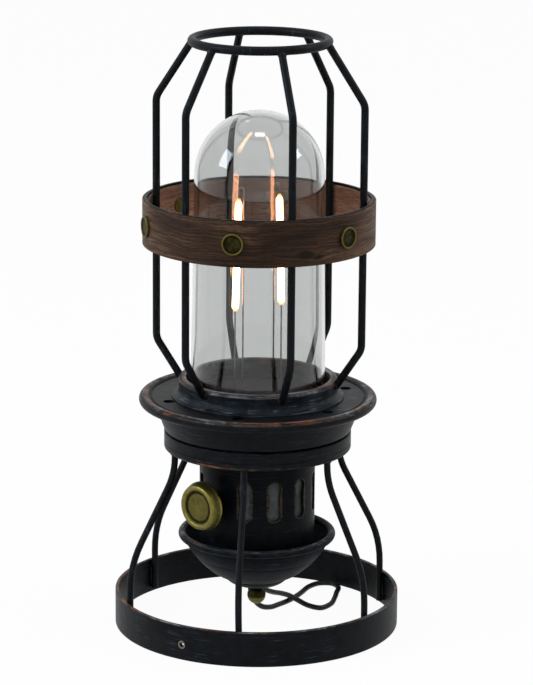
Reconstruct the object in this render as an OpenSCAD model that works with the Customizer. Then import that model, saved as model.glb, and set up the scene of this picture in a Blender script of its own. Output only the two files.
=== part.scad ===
// Lantern table lamp: a wooden hoop on a wire cage round a glass dome with two
// lit filaments, on a spun dish and drum, six bent legs and a wide base ring.
// Millimetres, +Z up, the origin on the table under the middle of the base ring,
// and the knob on the -Y side. Turns run counterclockwise from -Y, seen from above.

/* [Base ring] */
// Outer radius of the base ring
base_r = 95; // [90:0.5:102]
// Height of the base ring
base_h = 23.5; // [20:0.5:28]
// Wall of the base ring
base_wall = 2.5; // [2:0.1:3.5]
// Bevel along the edges of the base ring
base_bevel = 0.4; // [0.2:0.1:0.8]
// Height of the small eyelet in the ring
eyelet_z = 10.5; // [8:0.5:14]
// Bore of the small eyelet
eyelet_bore_d = 2.5; // [1.5:0.1:3]
// Flange of the small eyelet
eyelet_d = 5.5; // [5:0.1:7]

/* [Legs] */
// Diameter of the leg rods
leg_d = 4.4; // [3.6:0.1:5.2]
// Height of the drum's underside above the table
drum_z = 122; // [116:1:130]
// How far under the drum the legs start to splay
splay_drop = 13.5; // [13:0.5:18]
// Height at which the legs turn upright again
knee_z = 47.9; // [42:0.1:52]
// Foot of a leg above the table
foot_z = 3; // [1:0.5:8]
// Bend radius under the drum
splay_bend = 45; // [20:1:48]
// Bend radius at the knee
knee_bend = 70; // [30:1:75]

/* [Drum] */
// Outer radius of the drum
drum_r = 62.2; // [59:0.1:64]
// Height of the drum's side
drum_h = 11.8; // [10.5:0.1:15]
// Rounding of the drum's lower edge
drum_round = 1.4; // [1:0.1:4]
// Sheet of the drum
drum_wall = 2; // [1.6:0.1:2.5]
// Height of the neck that carries the dish
neck_h = 1.7; // [1:0.1:3]

/* [Dish] */
// Height of the dish, from its flange to its top plate
dish_h = 21.5; // [20:0.1:25]
// Radius of the dish to the middle of its rolled rim
rim_r = 75.4; // [73:0.1:79]
// Diameter of the rolled rim
rim_d = 7; // [6:0.1:8]
// Sheet of the dish
dish_wall = 1.6; // [1.2:0.1:2]
// Diameter of the vent holes in the top plate
vent_d = 7.6; // [5:0.1:8.4]
// Distance from the gallery's foot to the vent holes
vent_edge = 0.3; // [0.2:0.1:1.5]

/* [Gallery] */
// Thickness of the gallery's upright wall
gallery_wall = 4.7; // [3.5:0.1:6]
// Height of the gallery
gallery_h = 13; // [11:0.5:16]
// How far the gallery's foot stands out
gallery_foot = 4.8; // [3:0.1:5.2]
// Clearance between the glass and the gallery
glass_gap = 3; // [1.5:0.1:3.5]

/* [Glass] */
// Outer radius of the glass at its lower edge
glass_r = 44.7; // [43:0.1:46]
// How much narrower the glass is where its dome starts
glass_taper = 2.1; // [0.5:0.1:4]
// Height of the glass up to its dome
glass_h = 146.4; // [120:0.1:160]
// Wall of the glass
glass_wall = 2; // [1.5:0.1:3]
// Thickness of the plate under the glass
lamp_plate_t = 1; // [0.8:0.1:2]
// Thickness of the gasket under the glass
gasket_t = 1; // [0.6:0.1:1.5]

/* [Cage] */
// Radius of the cage, to the middle of its upright bars
cage_r = 69.4; // [66:0.1:72]
// Diameter of the cage bars
bar_d = 5; // [4:0.1:5.4]
// Height of the bars' lower corner above the dish
cage_low_h = 35; // [30:0.5:42]
// Height of the bars' upper corner above the dish
cage_high_h = 197.5; // [185:0.5:205]
// Height of the top ring above the dish
cage_h = 236.6; // [230:0.1:250]
// Height at which a bar meets the gallery
bar_foot_h = 9; // [8.5:0.1:10]
// Bend radius of the bars
bar_bend = 12; // [8:0.5:20]
// Radius of the top ring, to the middle of its rod
top_ring_r = 44.2; // [40:0.1:50]
// Diameter of the top ring's rod
top_ring_d = 6; // [5.2:0.1:7]

/* [Band] */
// Height of the band's lower edge above the dish
band_low_h = 103; // [80:0.5:125]
// Height of the band
band_h = 30.6; // [26:0.1:40]
// Thickness of the steel hoop in the band
hoop_t = 2; // [1.2:0.1:3]
// Thickness of the outer wood
wrap_t = 1.2; // [0.8:0.1:2]
// Thickness of the inner wood
lining_t = 1; // [0.6:0.1:2]
// How far the wood stays inside the hoop's edges
hem_h = 0.5; // [0.3:0.1:1]
// How far the inner wood stays below the hoop's upper edge
lining_hem_h = 1.6; // [0.5:0.1:2.5]
// Diameter of the stud heads
stud_d = 14.2; // [12:0.1:16]
// How far the stud heads stand proud
stud_h = 2; // [1.6:0.1:3]
// Diameter of the stud shanks
stud_shank_d = 4.4; // [3:0.1:5]
// Diameter of the washers behind the studs
stud_back_d = 10.5; // [9:0.1:12]

/* [Burner] */
// Outer radius of the burner tube
burner_r = 38.5; // [37:0.1:40]
// Wall of the burner tube
burner_wall = 1.5; // [1:0.1:2]
// Wall of the sleeve inside the burner tube
sleeve_wall = 1; // [0.6:0.1:1.5]
// Middle of the air slots, below the drum
slot_drop = 28.7; // [24:0.1:32]
// Height of an air slot
slot_h = 26.6; // [20:0.1:30]
// Width of an air slot at its ends
slot_w = 9; // [6:0.1:10]
// How much an air slot narrows at its waist
slot_waist = 2; // [1:0.1:3]

/* [Bowl] */
// Height of the bowl's underside above the table
bowl_z = 26; // [25:0.5:30]
// Height of the bowl, to the middle of its rolled rim
bowl_h = 35.6; // [32:0.1:38]
// Radius of the bowl, to the middle of its rolled rim
bowl_r = 50; // [48:0.1:53]
// Diameter of the bowl's rolled rim
bowl_rim_d = 5.2; // [4:0.1:6]
// Sheet of the bowl
bowl_wall = 1.5; // [1.2:0.1:2]
// Diameter of the finial ball
ball_d = 12.4; // [10:0.1:13]
// Length of the finial's neck, from the bowl to the middle of the ball
ball_drop = 8.4; // [7.5:0.1:10]
// Diameter of the rod that draws bowl, burner and drum together
rod_d = 4; // [3:0.1:5]

/* [Knob] */
// Height of the knob below the drum
knob_drop = 30.5; // [27:0.5:33]
// Largest radius of the knob
knob_r = 16.5; // [15:0.1:17.5]
// Thickness of the knob's disc
knob_t = 7.8; // [6.5:0.1:9]
// Distance from the burner tube to the back of the knob's disc
knob_reach = 12.5; // [12:0.1:15]
// Length of the knob's hub
hub_l = 5; // [4:0.1:5.5]
// Diameter of the dimmer's shaft
shaft_d = 6; // [4:0.1:6.4]
// Diameter of the dimmer's bush
bush_d = 8; // [7.6:0.1:9]
// Diameter of the dimmer's body
dimmer_d = 16; // [14:0.5:20]
// Length of the dimmer's body
dimmer_l = 10; // [8:0.5:14]

/* [Driver] */
// Length of the driver in the drum
driver_l = 44; // [36:1:50]
// Width of the driver in the drum
driver_w = 24; // [18:1:28]
// Distance from the middle rod to the driver
driver_gap = 8; // [6:0.5:12]
// Diameter of the hole for the wires in the drum's floor
wire_hole_d = 8; // [5:0.5:10]

/* [Filaments] */
// Length of a lit filament
filament_l = 72; // [50:1:80]
// Diameter of a filament
filament_d = 4.4; // [3:0.1:5]
// Distance from the lamp's middle to a filament's foot
filament_r = 18; // [16:0.1:22]
// Height of a filament's foot above the plate
filament_h = 60; // [50:1:75]
// Lean of a filament towards the middle
filament_lean = 1.8; // [0:0.1:2.5]
// Turn of the pair of filaments
filament_turn = -15; // [-60:1:60]
// Diameter of the support wires
wire_d = 1; // [0.8:0.1:1.4]
// Distance from the lamp's middle to the return wires
return_r = 12; // [9:0.1:13]

/* [Cord] */
// Diameter of the cord
cord_d = 3.6; // [3.2:0.1:4]
// Height of the cord's hole in the base ring
exit_z = 8; // [7:0.5:12]
// Length of the tapered strain relief
relief_l = 20; // [20:1:30]
// Ribs along the strain relief
relief_ribs = 6; // [4:1:8]
// Length of the plug, from its neck to its face
plug_l = 26; // [24:0.5:30]
// Width of the plug
plug_w = 21; // [20:0.5:24]
// Height of the plug
plug_h = 13.5; // [13:0.5:15]
// Turns in one layer of the coil
layer_turns = 2.875; // [2.875]
// Layers in the coil
coil_layers = 4; // [4]
// Distance between turns, and between layers
coil_pitch = 4.1; // [4.1:0.1:4.6]
// Radius of the coil at the middle of its turns
coil_mid_r = 20.1; // [20:0.1:21.5]

/* [Clearances] */
// Clearance between parts that sit in or round each other
fit = 0.1; // [0.05:0.05:0.15]
// Clearance between the cage bars and the band
band_fit = 0.35; // [0.3:0.05:0.5]
// Running clearance round the dimmer's shaft
running_fit = 0.05; // [0.03:0.01:0.08]
// Clearance round the sleeve in the burner tube
sleeve_fit = 0.4; // [0.3:0.05:0.5]

/* [Hidden] */
$fn = 96;

iron = "#24282c";
worn_brass = "#7d7430";
walnut = "#4a3426";
black = "#15171a";

// Heights of the stack above the table
dish_z = drum_z + drum_h + neck_h;
plate_z = dish_z + dish_h;
glass_z = plate_z + lamp_plate_t + gasket_t;
band_z = plate_z + band_low_h;
stud_z = band_z + band_h / 2;
slot_z = drum_z - slot_drop;
knob_z = drum_z - knob_drop;

// Turns of what repeats, in degrees
sides = 6;
step = 360 / sides;
leg_turn = 34;
vent_turn = 30;
slots = 12;
eyelet_turn = 12;
exit_turn = 230;

// Radii that follow from the neighbours
leg_top_r = drum_r - drum_round - leg_d / 2 - fit;
leg_foot_r = base_r - base_wall - leg_d / 2 - fit;
neck_r = drum_r - 4.2;
neck_wall = 3;
neck_in_r = neck_r - neck_wall;
flange_in_r = neck_in_r - 3;
glass_top_r = glass_r - glass_taper;
gallery_in_r = glass_r + glass_gap;
gallery_r = gallery_in_r + gallery_wall;
vent_ring_r = gallery_r + gallery_foot + vent_edge + vent_d / 2;
lamp_plate_r = gallery_in_r - 1.2;
plate_in_r = lamp_plate_r - 6;
band_in_r = cage_r + bar_d / 2 + band_fit;
hoop_in_r = band_in_r + lining_t;
hoop_out_r = hoop_in_r + hoop_t;
band_out_r = hoop_out_r + wrap_t;
sleeve_out_r = burner_r - burner_wall - sleeve_fit;
sleeve_in_r = sleeve_out_r - sleeve_wall;

// Places an axis that points outwards, at a turn and a height: local z is the
// distance from the lamp's middle and local y is up
module outward(turn, z) {
  rotate([0, 0, turn]) translate([0, 0, z]) rotate([90, 0, 0]) children();
}

module ring(outer, inner, h) {
  difference() {
    cylinder(r = outer, h = h);
    translate([0, 0, -1]) cylinder(r = inner, h = h + 2);
  }
}

// A revolved wall between two radii with bevelled edges
module bevelled_ring(outer, inner, h, bevel) {
  rotate_extrude()
    polygon([
      [inner + bevel, 0], [outer - bevel, 0], [outer, bevel], [outer, h - bevel],
      [outer - bevel, h], [inner + bevel, h], [inner, h - bevel], [inner, bevel]
    ]);
}

function unit(v) = v / norm(v);
function cross2(u, v) = u.x * v.y - u.y * v.x;

// Points of an arc, from angle a to angle b
function arc(centre, radius, a, b, n) =
  [for (i = [0:n]) centre + radius * [cos(a + (b - a) * i / n), sin(a + (b - a) * i / n)]];

// ---- Bent rods, drawn in the plane of radius and height ----

module straight_rod(p, q, rod_r) {
  translate([p.x, 0, p.y])
    rotate([0, atan2(q.x - p.x, q.y - p.y), 0])
      cylinder(h = norm(q - p), r = rod_r);
}

// A straight length runs a little way into the bend that follows it, and a bend is
// thinner by a hair, so that the two join as one piece of metal
lap = 0.2;
hair = 0.02;

module arc_rod(centre, bend, from, sweep, rod_r) {
  translate([centre.x, 0, centre.y])
    rotate([90, 0, 0])
      rotate([0, 0, from])
        rotate_extrude(angle = sweep)
          translate([bend, 0]) circle(r = rod_r - hair);
}

function turn_at(p, i) = acos(unit(p[i] - p[i - 1]) * unit(p[i + 1] - p[i]));
function setback(p, i, bend) = bend * tan(turn_at(p, i) / 2);
function bend_start(p, i, bend) = p[i] - unit(p[i] - p[i - 1]) * setback(p, i, bend);
function bend_end(p, i, bend) = p[i] + unit(p[i + 1] - p[i]) * setback(p, i, bend);

// A rod through corner points [radius, height], with a bend radius at each inner corner
module bent_rod(p, bends, rod_r) {
  last = len(p) - 1;
  for (i = [0:last - 1]) {
    from = i == 0 ? p[0] : bend_end(p, i, bends[i - 1]);
    to = i == last - 1 ? p[last] : bend_start(p, i + 1, bends[i]);
    along = unit(p[i + 1] - p[i]);
    straight_rod(from - (i == 0 ? 0 : lap) * along, to + (i == last - 1 ? 0 : lap) * along, rod_r);
  }
  for (i = [1:last - 1]) {
    u = unit(p[i] - p[i - 1]);
    side = sign(cross2(u, unit(p[i + 1] - p[i])));
    start = bend_start(p, i, bends[i - 1]);
    centre = start + side * bends[i - 1] * [-u.y, u.x];
    ray = (side > 0 ? start : bend_end(p, i, bends[i - 1])) - centre;
    arc_rod(centre, bends[i - 1], atan2(ray.y, ray.x), turn_at(p, i), rod_r);
  }
}

// ---- Base ----

module base_ring() {
  color(iron)
    difference() {
      bevelled_ring(base_r, base_r - base_wall, base_h, base_bevel);
      outward(eyelet_turn, eyelet_z)
        translate([0, 0, base_r - 10]) cylinder(d = eyelet_hole_d, h = 20);
      outward(exit_turn, exit_z)
        translate([0, 0, base_r - 10]) cylinder(r = relief_neck_r + fit, h = 20);
    }
}

eyelet_wall = 0.6;
eyelet_flange_t = 0.4;
eyelet_hole_d = eyelet_bore_d + 2 * eyelet_wall + 2 * fit;

module hole_eyelet() {
  color(worn_brass)
    outward(eyelet_turn, eyelet_z)
      difference() {
        union() {
          translate([0, 0, base_r - base_wall])
            cylinder(d = eyelet_hole_d - 2 * fit, h = base_wall + eyelet_flange_t);
          translate([0, 0, base_r + fit / 2])
            cylinder(d1 = eyelet_d, d2 = eyelet_d - 0.5, h = eyelet_flange_t);
        }
        translate([0, 0, base_r - 10]) cylinder(d = eyelet_bore_d, h = 20);
      }
}

module leg(i) {
  path = [
    [leg_top_r, drum_z], [leg_top_r, drum_z - splay_drop], [leg_foot_r, knee_z], [leg_foot_r, foot_z]
  ];
  color(iron)
    rotate([0, 0, leg_turn + step * i - 90])
      bent_rod(path, [splay_bend, knee_bend], leg_d / 2);
}

// ---- Drum, burner and bowl ----

rod_hole_r = rod_d / 2 + fit;
screws = 3;
screw_turn = 90;
screw_r = 1.1;
screw_ring_r = neck_in_r + neck_wall / 2;
screw_depth = 4;
// The wires to the dimmer come down between the rod and the sleeve
wire_hole_y = (rod_d / 2 + sleeve_in_r) / 2;

module screw_axes() {
  for (i = [0:screws - 1])
    rotate([0, 0, screw_turn + 360 / screws * i]) translate([0, -screw_ring_r, 0]) children();
}

module drum() {
  top = drum_z + drum_h;
  edge = [drum_r - drum_round, drum_z + drum_round];
  corner = max(drum_round, drum_wall + 0.1);
  edge_in = [drum_r - corner, drum_z + corner];
  color(iron)
    difference() {
      rotate_extrude()
        polygon(concat(
          [[rod_hole_r, drum_z]],
          arc(edge, drum_round, -90, 0, 5),
          [[drum_r, top - 0.6], [drum_r - 0.6, top], [neck_r, top], [neck_r, dish_z]],
          [[neck_in_r, dish_z], [neck_in_r, top - drum_wall], [drum_r - drum_wall, top - drum_wall]],
          arc(edge_in, corner - drum_wall, 0, -90, 3),
          [[rod_hole_r, drum_z + drum_wall]]
        ));
      screw_axes()
        translate([0, 0, dish_z - screw_depth]) cylinder(r = screw_r + fit, h = screw_depth + 1);
      translate([0, -wire_hole_y, drum_z - 1]) cylinder(d = wire_hole_d, h = drum_wall + 2);
    }
}

module dish_screws() {
  head_z = dish_z + dish_wall + fit / 2;
  color("silver")
    screw_axes() {
      translate([0, 0, dish_z - screw_depth + 0.3])
        cylinder(r = screw_r, h = head_z - dish_z + screw_depth);
      translate([0, 0, head_z]) cylinder(r = 2.2, h = 1.5);
    }
}

// The spun bowl's outer line, from its flat foot to under its rim
bowl_line = [
  [13, 0], [0.35 * bowl_r, 0.05 * bowl_h], [0.42 * bowl_r, 0.126 * bowl_h],
  [0.44 * bowl_r, 0.168 * bowl_h], [0.46 * bowl_r, 0.174 * bowl_h], [0.6 * bowl_r, 0.281 * bowl_h],
  [0.76 * bowl_r, 0.478 * bowl_h], [0.86 * bowl_r, 0.64 * bowl_h], [0.93 * bowl_r, 0.787 * bowl_h],
  [bowl_r - 1, bowl_h - bowl_rim_d / 2 + 0.4]
];
// The inner line lies one sheet inside it
bowl_inside = [
  for (i = [0:len(bowl_line) - 1])
    let (
      along = unit(bowl_line[min(i + 1, len(bowl_line) - 1)] - bowl_line[max(i - 1, 0)]),
      in = i == 0 ? [0, 1] : [-along.y, along.x]
    )
    bowl_line[i] + bowl_wall * in
];
// Height of the bowl's inner face at a radius
function bowl_floor(r) = bowl_z + lookup(r, [for (p = bowl_inside) [p.x, p.y]]);

module drip_bowl() {
  count = len(bowl_line);
  color(iron)
    difference() {
      translate([0, 0, bowl_z])
        rotate_extrude() {
          polygon(concat(
            [[rod_hole_r, 0]],
            bowl_line,
            [for (i = [count - 1:-1:0]) bowl_inside[i]],
            [[rod_hole_r, bowl_wall]]
          ));
          translate([bowl_r, bowl_h]) circle(d = bowl_rim_d);
        }
      translate([cord_top.x, cord_top.y, bowl_z - 1]) cylinder(r = bush_r + fit, h = bowl_wall + 2);
    }
}

module slot_outline() {
  end_gap = slot_h - slot_w;
  hollow_r = (pow(end_gap / 2, 2) + pow(slot_waist / 2, 2)) / slot_waist;
  difference() {
    square([slot_w, end_gap], center = true);
    for (s = [-1, 1]) translate([s * (slot_w / 2 - slot_waist / 2 + hollow_r), 0]) circle(r = hollow_r);
  }
  for (s = [-1, 1]) translate([0, s * end_gap / 2]) circle(d = slot_w);
}

module burner_tube() {
  low = bowl_floor(burner_r) + fit;
  color(iron)
    difference() {
      translate([0, 0, low]) ring(burner_r, burner_r - burner_wall, drum_z - low);
      for (i = [1:slots - 1])
        outward(360 / slots * i, slot_z)
          translate([0, 0, burner_r - 5]) linear_extrude(height = 10) slot_outline();
      outward(0, knob_z)
        translate([0, 0, burner_r - 5]) cylinder(r = bush_d / 2 + fit, h = 10);
    }
}

module inner_sleeve() {
  low = bowl_floor(sleeve_out_r) + fit;
  color("gray")
    difference() {
      translate([0, 0, low]) ring(sleeve_out_r, sleeve_in_r, drum_z - fit - low);
      outward(0, knob_z)
        translate([0, 0, sleeve_in_r - 4]) cylinder(r = bush_d / 2 + fit, h = 10);
    }
}

ball_z = bowl_z - ball_drop;
rod_low_z = ball_z + 2;
rod_high_z = drum_z + drum_wall + 5;

module center_rod() {
  color("silver")
    translate([0, 0, rod_low_z]) cylinder(d = rod_d, h = rod_high_z - rod_low_z);
}

module rod_nut() {
  color("silver")
    translate([0, 0, drum_z + drum_wall])
      difference() {
        cylinder(d = (rod_d + 3.5) / cos(30), h = 3.2, $fn = 6);
        translate([0, 0, -1]) cylinder(r = rod_hole_r, h = 6);
      }
}

module finial_ball() {
  neck = rod_d / 2 + 1.2;
  color(worn_brass)
    difference() {
      union() {
        translate([0, 0, ball_z]) sphere(d = ball_d);
        translate([0, 0, ball_z]) cylinder(r = neck, h = ball_drop);
        translate([0, 0, bowl_z - 1.2]) cylinder(r1 = neck, r2 = neck + 0.6, h = 1.2);
      }
      translate([0, 0, rod_low_z - fit]) cylinder(r = rod_hole_r, h = ball_drop);
    }
}

// ---- Dimmer and knob, along the axis that points to -Y ----

nut_w = bush_d + 3;
nut_t = 2;
washer_t = 0.5;
bush_out = burner_r + 5.5;
shaft_in = burner_r - 0.5;
knob_back = burner_r + knob_reach;
knob_face = knob_back + knob_t;
dimmer_face = sqrt(pow(sleeve_in_r, 2) - pow(dimmer_d / 2, 2)) - fit;
shaft_r = shaft_d / 2;

module dimmer_body() {
  color("dimgray")
    outward(0, knob_z)
      difference() {
        union() {
          translate([0, 0, dimmer_face - dimmer_l]) cylinder(d = dimmer_d, h = dimmer_l);
          translate([0, 0, dimmer_face - 1]) cylinder(d = bush_d, h = bush_out - dimmer_face + 1);
        }
        translate([0, 0, shaft_in - 0.3]) cylinder(r = shaft_r + running_fit, h = 20);
      }
}

module dimmer_nut() {
  color("silver")
    outward(0, knob_z)
      translate([0, 0, burner_r + fit / 2])
        difference() {
          union() {
            cylinder(d = nut_w + 2, h = washer_t);
            translate([0, 0, washer_t]) cylinder(d = nut_w / cos(30), h = nut_t, $fn = 6);
          }
          translate([0, 0, -1]) cylinder(r = bush_d / 2 + fit, h = 6);
        }
}

module knob_shaft() {
  color("silver")
    outward(0, knob_z)
      translate([0, 0, shaft_in]) cylinder(r = shaft_r, h = knob_back + knob_t / 2 - shaft_in);
}

// A stepped face: a rounded outer rim, a groove, and a shallow dished middle with a dimple
module knob() {
  hub_r = shaft_r + 2;
  bore_r = shaft_r + 0.02;
  color(worn_brass)
    outward(0, knob_z)
      rotate_extrude()
        polygon(concat(
          [[bore_r, knob_back - hub_l], [hub_r, knob_back - hub_l], [hub_r, knob_back]],
          [[knob_r - 1, knob_back], [knob_r, knob_back + 1], [knob_r, knob_back + 2]],
          [[knob_r - 1.2, knob_face - 1.6]],
          arc([knob_r - 3.5, knob_face - 2], 2, 25, 150, 8),
          [[knob_r - 5.7, knob_face - 1.8], [knob_r - 6.5, knob_face - 1.8]],
          [[knob_r - 7, knob_face - 1.1], [knob_r - 10, knob_face - 1.5], [1.4, knob_face - 1.8]],
          [[0.9, knob_face - 2.2], [0, knob_face - 2.4]],
          [[0, knob_back + knob_t / 2 + 0.2], [bore_r, knob_back + knob_t / 2 + 0.2]]
        ));
}

// ---- Dish, gallery and lamp ----

module dish() {
  rim = [rim_r, plate_z - rim_d / 2 + 1.5];
  inside_x = drum_r - dish_wall;
  cove = [rim_r - 7.9, rim.y - 5.5];
  color(iron)
    difference() {
      rotate_extrude() {
        polygon([
          [flange_in_r, dish_z], [drum_r, dish_z], [drum_r + 2.1, dish_z + 5.5], cove,
          cove + [1.6, 2.4], rim + [-2.6, -2], rim, rim + [-2.5, 2],
          [rim_r - 4, plate_z - 0.7], [rim_r - 4.5, plate_z - 0.7], [rim_r - 5.1, plate_z],
          [plate_in_r, plate_z], [plate_in_r, plate_z - dish_wall],
          [cove.x - 0.4, plate_z - dish_wall], cove + [-dish_wall - 0.2, 0.4],
          [inside_x + 2.1, dish_z + 5.8], [inside_x, dish_z + dish_wall],
          [flange_in_r, dish_z + dish_wall]
        ]);
        translate(rim) circle(d = rim_d);
      }
      for (i = [0:sides - 1])
        rotate([0, 0, vent_turn + step * i])
          translate([0, -vent_ring_r, plate_z - dish_wall - 1]) cylinder(d = vent_d, h = dish_wall + 2);
      screw_axes()
        translate([0, 0, dish_z - 1]) cylinder(r = screw_r + fit, h = dish_wall + 2);
    }
}

// A potted block on the drum's floor, with chamfered upright corners
module led_driver() {
  chamfer = 2;
  half = driver_l / 2;
  color("whitesmoke")
    translate([0, rod_d / 2 + driver_gap, drum_z + drum_wall])
      linear_extrude(height = dish_z - drum_z - drum_wall - 1)
        polygon([
          [chamfer - half, 0], [half - chamfer, 0], [half, chamfer], [half, driver_w - chamfer],
          [half - chamfer, driver_w], [chamfer - half, driver_w],
          [-half, driver_w - chamfer], [-half, chamfer]
        ]);
}

// A moulded collar: a rounded foot, a cove, an upright wall and a rolled lip
module gallery() {
  foot_r = gallery_r + gallery_foot;
  foot_h = 2.2;
  cove_r = gallery_foot - 1.2;
  lip_r = 1.3;
  top = plate_z + gallery_h;
  color(iron)
    rotate_extrude()
      polygon(concat(
        [[gallery_in_r, plate_z], [foot_r, plate_z]],
        arc([foot_r - foot_h / 2, plate_z + foot_h / 2], foot_h / 2, 0, 90, 4),
        arc([gallery_r + cove_r, plate_z + foot_h + cove_r], cove_r, -90, -180, 5),
        arc([gallery_r - lip_r, top - lip_r], lip_r, 0, 90, 4),
        arc([gallery_in_r + 0.6, top - 0.6], 0.6, 90, 180, 3)
      ));
}

module lamp_plate() {
  color(iron)
    translate([0, 0, plate_z]) cylinder(r = lamp_plate_r, h = lamp_plate_t);
}

module glass_gasket() {
  color(black)
    translate([0, 0, plate_z + lamp_plate_t])
      ring(glass_r + 0.4, glass_r - glass_wall - 0.4, gasket_t);
}

module dome_solid(low_r, high_r) {
  cylinder(r1 = low_r, r2 = high_r, h = glass_h);
  translate([0, 0, glass_h])
    intersection() {
      sphere(r = high_r);
      translate([0, 0, high_r]) cube(2 * high_r + 2, center = true);
    }
}

module glass_dome() {
  color("lightblue", 0.4)
    translate([0, 0, glass_z])
      difference() {
        dome_solid(glass_r, glass_top_r);
        difference() {
          dome_solid(glass_r - glass_wall, glass_top_r - glass_wall);
          translate([0, 0, -2]) cube([200, 200, 4 - 0.002], center = true);
        }
        translate([0, 0, -1]) cylinder(r = glass_r - glass_wall, h = 1.002);
      }
}

// ---- Filaments ----

floor_z = plate_z + lamp_plate_t;
filament_low_z = floor_z + filament_h;
tip_r = filament_r - filament_l * sin(filament_lean);
tip_z = filament_low_z + filament_l * cos(filament_lean);
wire_r = wire_d / 2;
cap_l = 1.5;
wire_end = cap_l + fit;
filament_tip = [
  tip_r - wire_end * sin(filament_lean), tip_z + wire_end * cos(filament_lean)
];
arch_r = (filament_tip.x - return_r) / 2;
arch_z = tip_z + 7;

module filament(turn) {
  color("orange")
    rotate([0, 0, turn - 90])
      translate([filament_r, 0, filament_low_z])
        rotate([0, -filament_lean, 0]) {
          cylinder(d = filament_d, h = filament_l);
          translate([0, 0, -cap_l]) cylinder(d = filament_d * 0.6, h = filament_l + 2 * cap_l);
        }
}

// One wire under the filament, and one beside it that arches over to its tip
module filament_frame(turn) {
  tip = filament_tip;
  start = [
    filament_r + wire_end * sin(filament_lean), filament_low_z - wire_end * cos(filament_lean)
  ];
  color("silver")
    rotate([0, 0, turn - 90]) {
      straight_rod([start.x, floor_z], start, wire_r);
      straight_rod([return_r, floor_z], [return_r, arch_z + lap], wire_r);
      arc_rod([return_r + arch_r, arch_z], arch_r, 0, 180, wire_r);
      straight_rod(tip, [tip.x, arch_z + lap], wire_r);
    }
}

// ---- Cage and band ----

module cage_bar(i) {
  top_z = plate_z + cage_h;
  path = [
    [gallery_r, plate_z + bar_foot_h], [cage_r, plate_z + cage_low_h],
    [cage_r, plate_z + cage_high_h], [top_ring_r, top_z]
  ];
  color(iron)
    difference() {
      rotate([0, 0, step * i - 90]) bent_rod(path, [bar_bend, bar_bend], bar_d / 2);
      translate([0, 0, plate_z - 1]) cylinder(r = gallery_r + fit / 2, h = gallery_h + 3);
      translate([0, 0, top_z]) torus(top_ring_r, top_ring_d / 2 + fit / 2);
    }
}

module torus(middle, rod_r) {
  rotate_extrude() translate([middle, 0]) circle(r = rod_r);
}

module cage_top_ring() {
  color(iron)
    translate([0, 0, plate_z + cage_h]) torus(top_ring_r, top_ring_d / 2);
}

module stud_axes() {
  for (i = [0:sides - 1]) outward(vent_turn + step * i, stud_z) children();
}

module band_layer(inner, outer, low_hem, high_hem) {
  difference() {
    translate([0, 0, band_z + low_hem]) ring(outer, inner, band_h - low_hem - high_hem);
    stud_axes() translate([0, 0, inner - 5]) cylinder(d = stud_shank_d + 2 * fit, h = 20);
  }
}

module band_hoop() {
  color(iron) band_layer(hoop_in_r, hoop_out_r, 0, 0);
}

module band_wrap() {
  color(walnut) band_layer(hoop_out_r, band_out_r, hem_h, hem_h);
}

module band_lining() {
  color("#8a5f4c") band_layer(band_in_r, hoop_in_r, hem_h, lining_hem_h);
}

// A raised rounded rim round a flat middle, its back hollowed to lie on the band
module band_studs() {
  r = stud_d / 2;
  top = band_out_r + stud_h;
  bead = 0.9;
  dish_depth = 0.7;
  color(worn_brass)
    difference() {
      stud_axes() {
        rotate_extrude()
          polygon(concat(
            [[0, band_out_r - 2], [r, band_out_r - 2]],
            [[r, top - bead]],
            arc([r - bead, top - bead], bead, 15, 150, 6),
            [[r - 2 * bead - 0.2, top - dish_depth], [0, top - dish_depth]]
          ));
      }
      translate([0, 0, band_z - 10]) cylinder(r = band_out_r + fit / 2, h = band_h + 20, $fn = 720);
    }
  color(worn_brass)
    stud_axes()
      translate([0, 0, band_in_r - 1.7]) cylinder(d = stud_shank_d, h = band_out_r - band_in_r + 2.2);
}

module stud_backs() {
  color(worn_brass)
    intersection() {
      stud_axes()
        translate([0, 0, band_in_r - 1.2])
          difference() {
            cylinder(d = stud_back_d, h = 4);
            translate([0, 0, -1]) cylinder(d = stud_shank_d + 2 * fit, h = 6);
          }
      translate([0, 0, band_z]) cylinder(r = band_in_r - fit / 2, h = band_h, $fn = 720);
    }
}

// ---- Cord ----
// The route lies in a frame turned so that the hole in the base ring is on its +Y side

cord_r = cord_d / 2;
lie = cord_r + 0.2;
cord_turn = exit_turn - 180;
bush_r = cord_r + 1.1;
bush_t = 1.2;
relief_neck_r = cord_r + 2;
relief_flange_t = 1.4;
relief_collar_r = relief_neck_r + 1.2;
// The flange is flat and the ring is round, so it stands off by the ring's bow
relief_seat = sqrt(pow(base_r - base_wall, 2) - pow(relief_collar_r, 2)) - fit;
relief_inner = relief_seat - relief_flange_t;

// Where the cord comes out of the bowl, in the route's frame and in the lamp's own
top_xy = [-3, 8.5];
cord_top = [
  top_xy.x * cos(cord_turn) - top_xy.y * sin(cord_turn),
  top_xy.x * sin(cord_turn) + top_xy.y * cos(cord_turn)
];
hump = lie + cord_d + 0.3;

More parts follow.
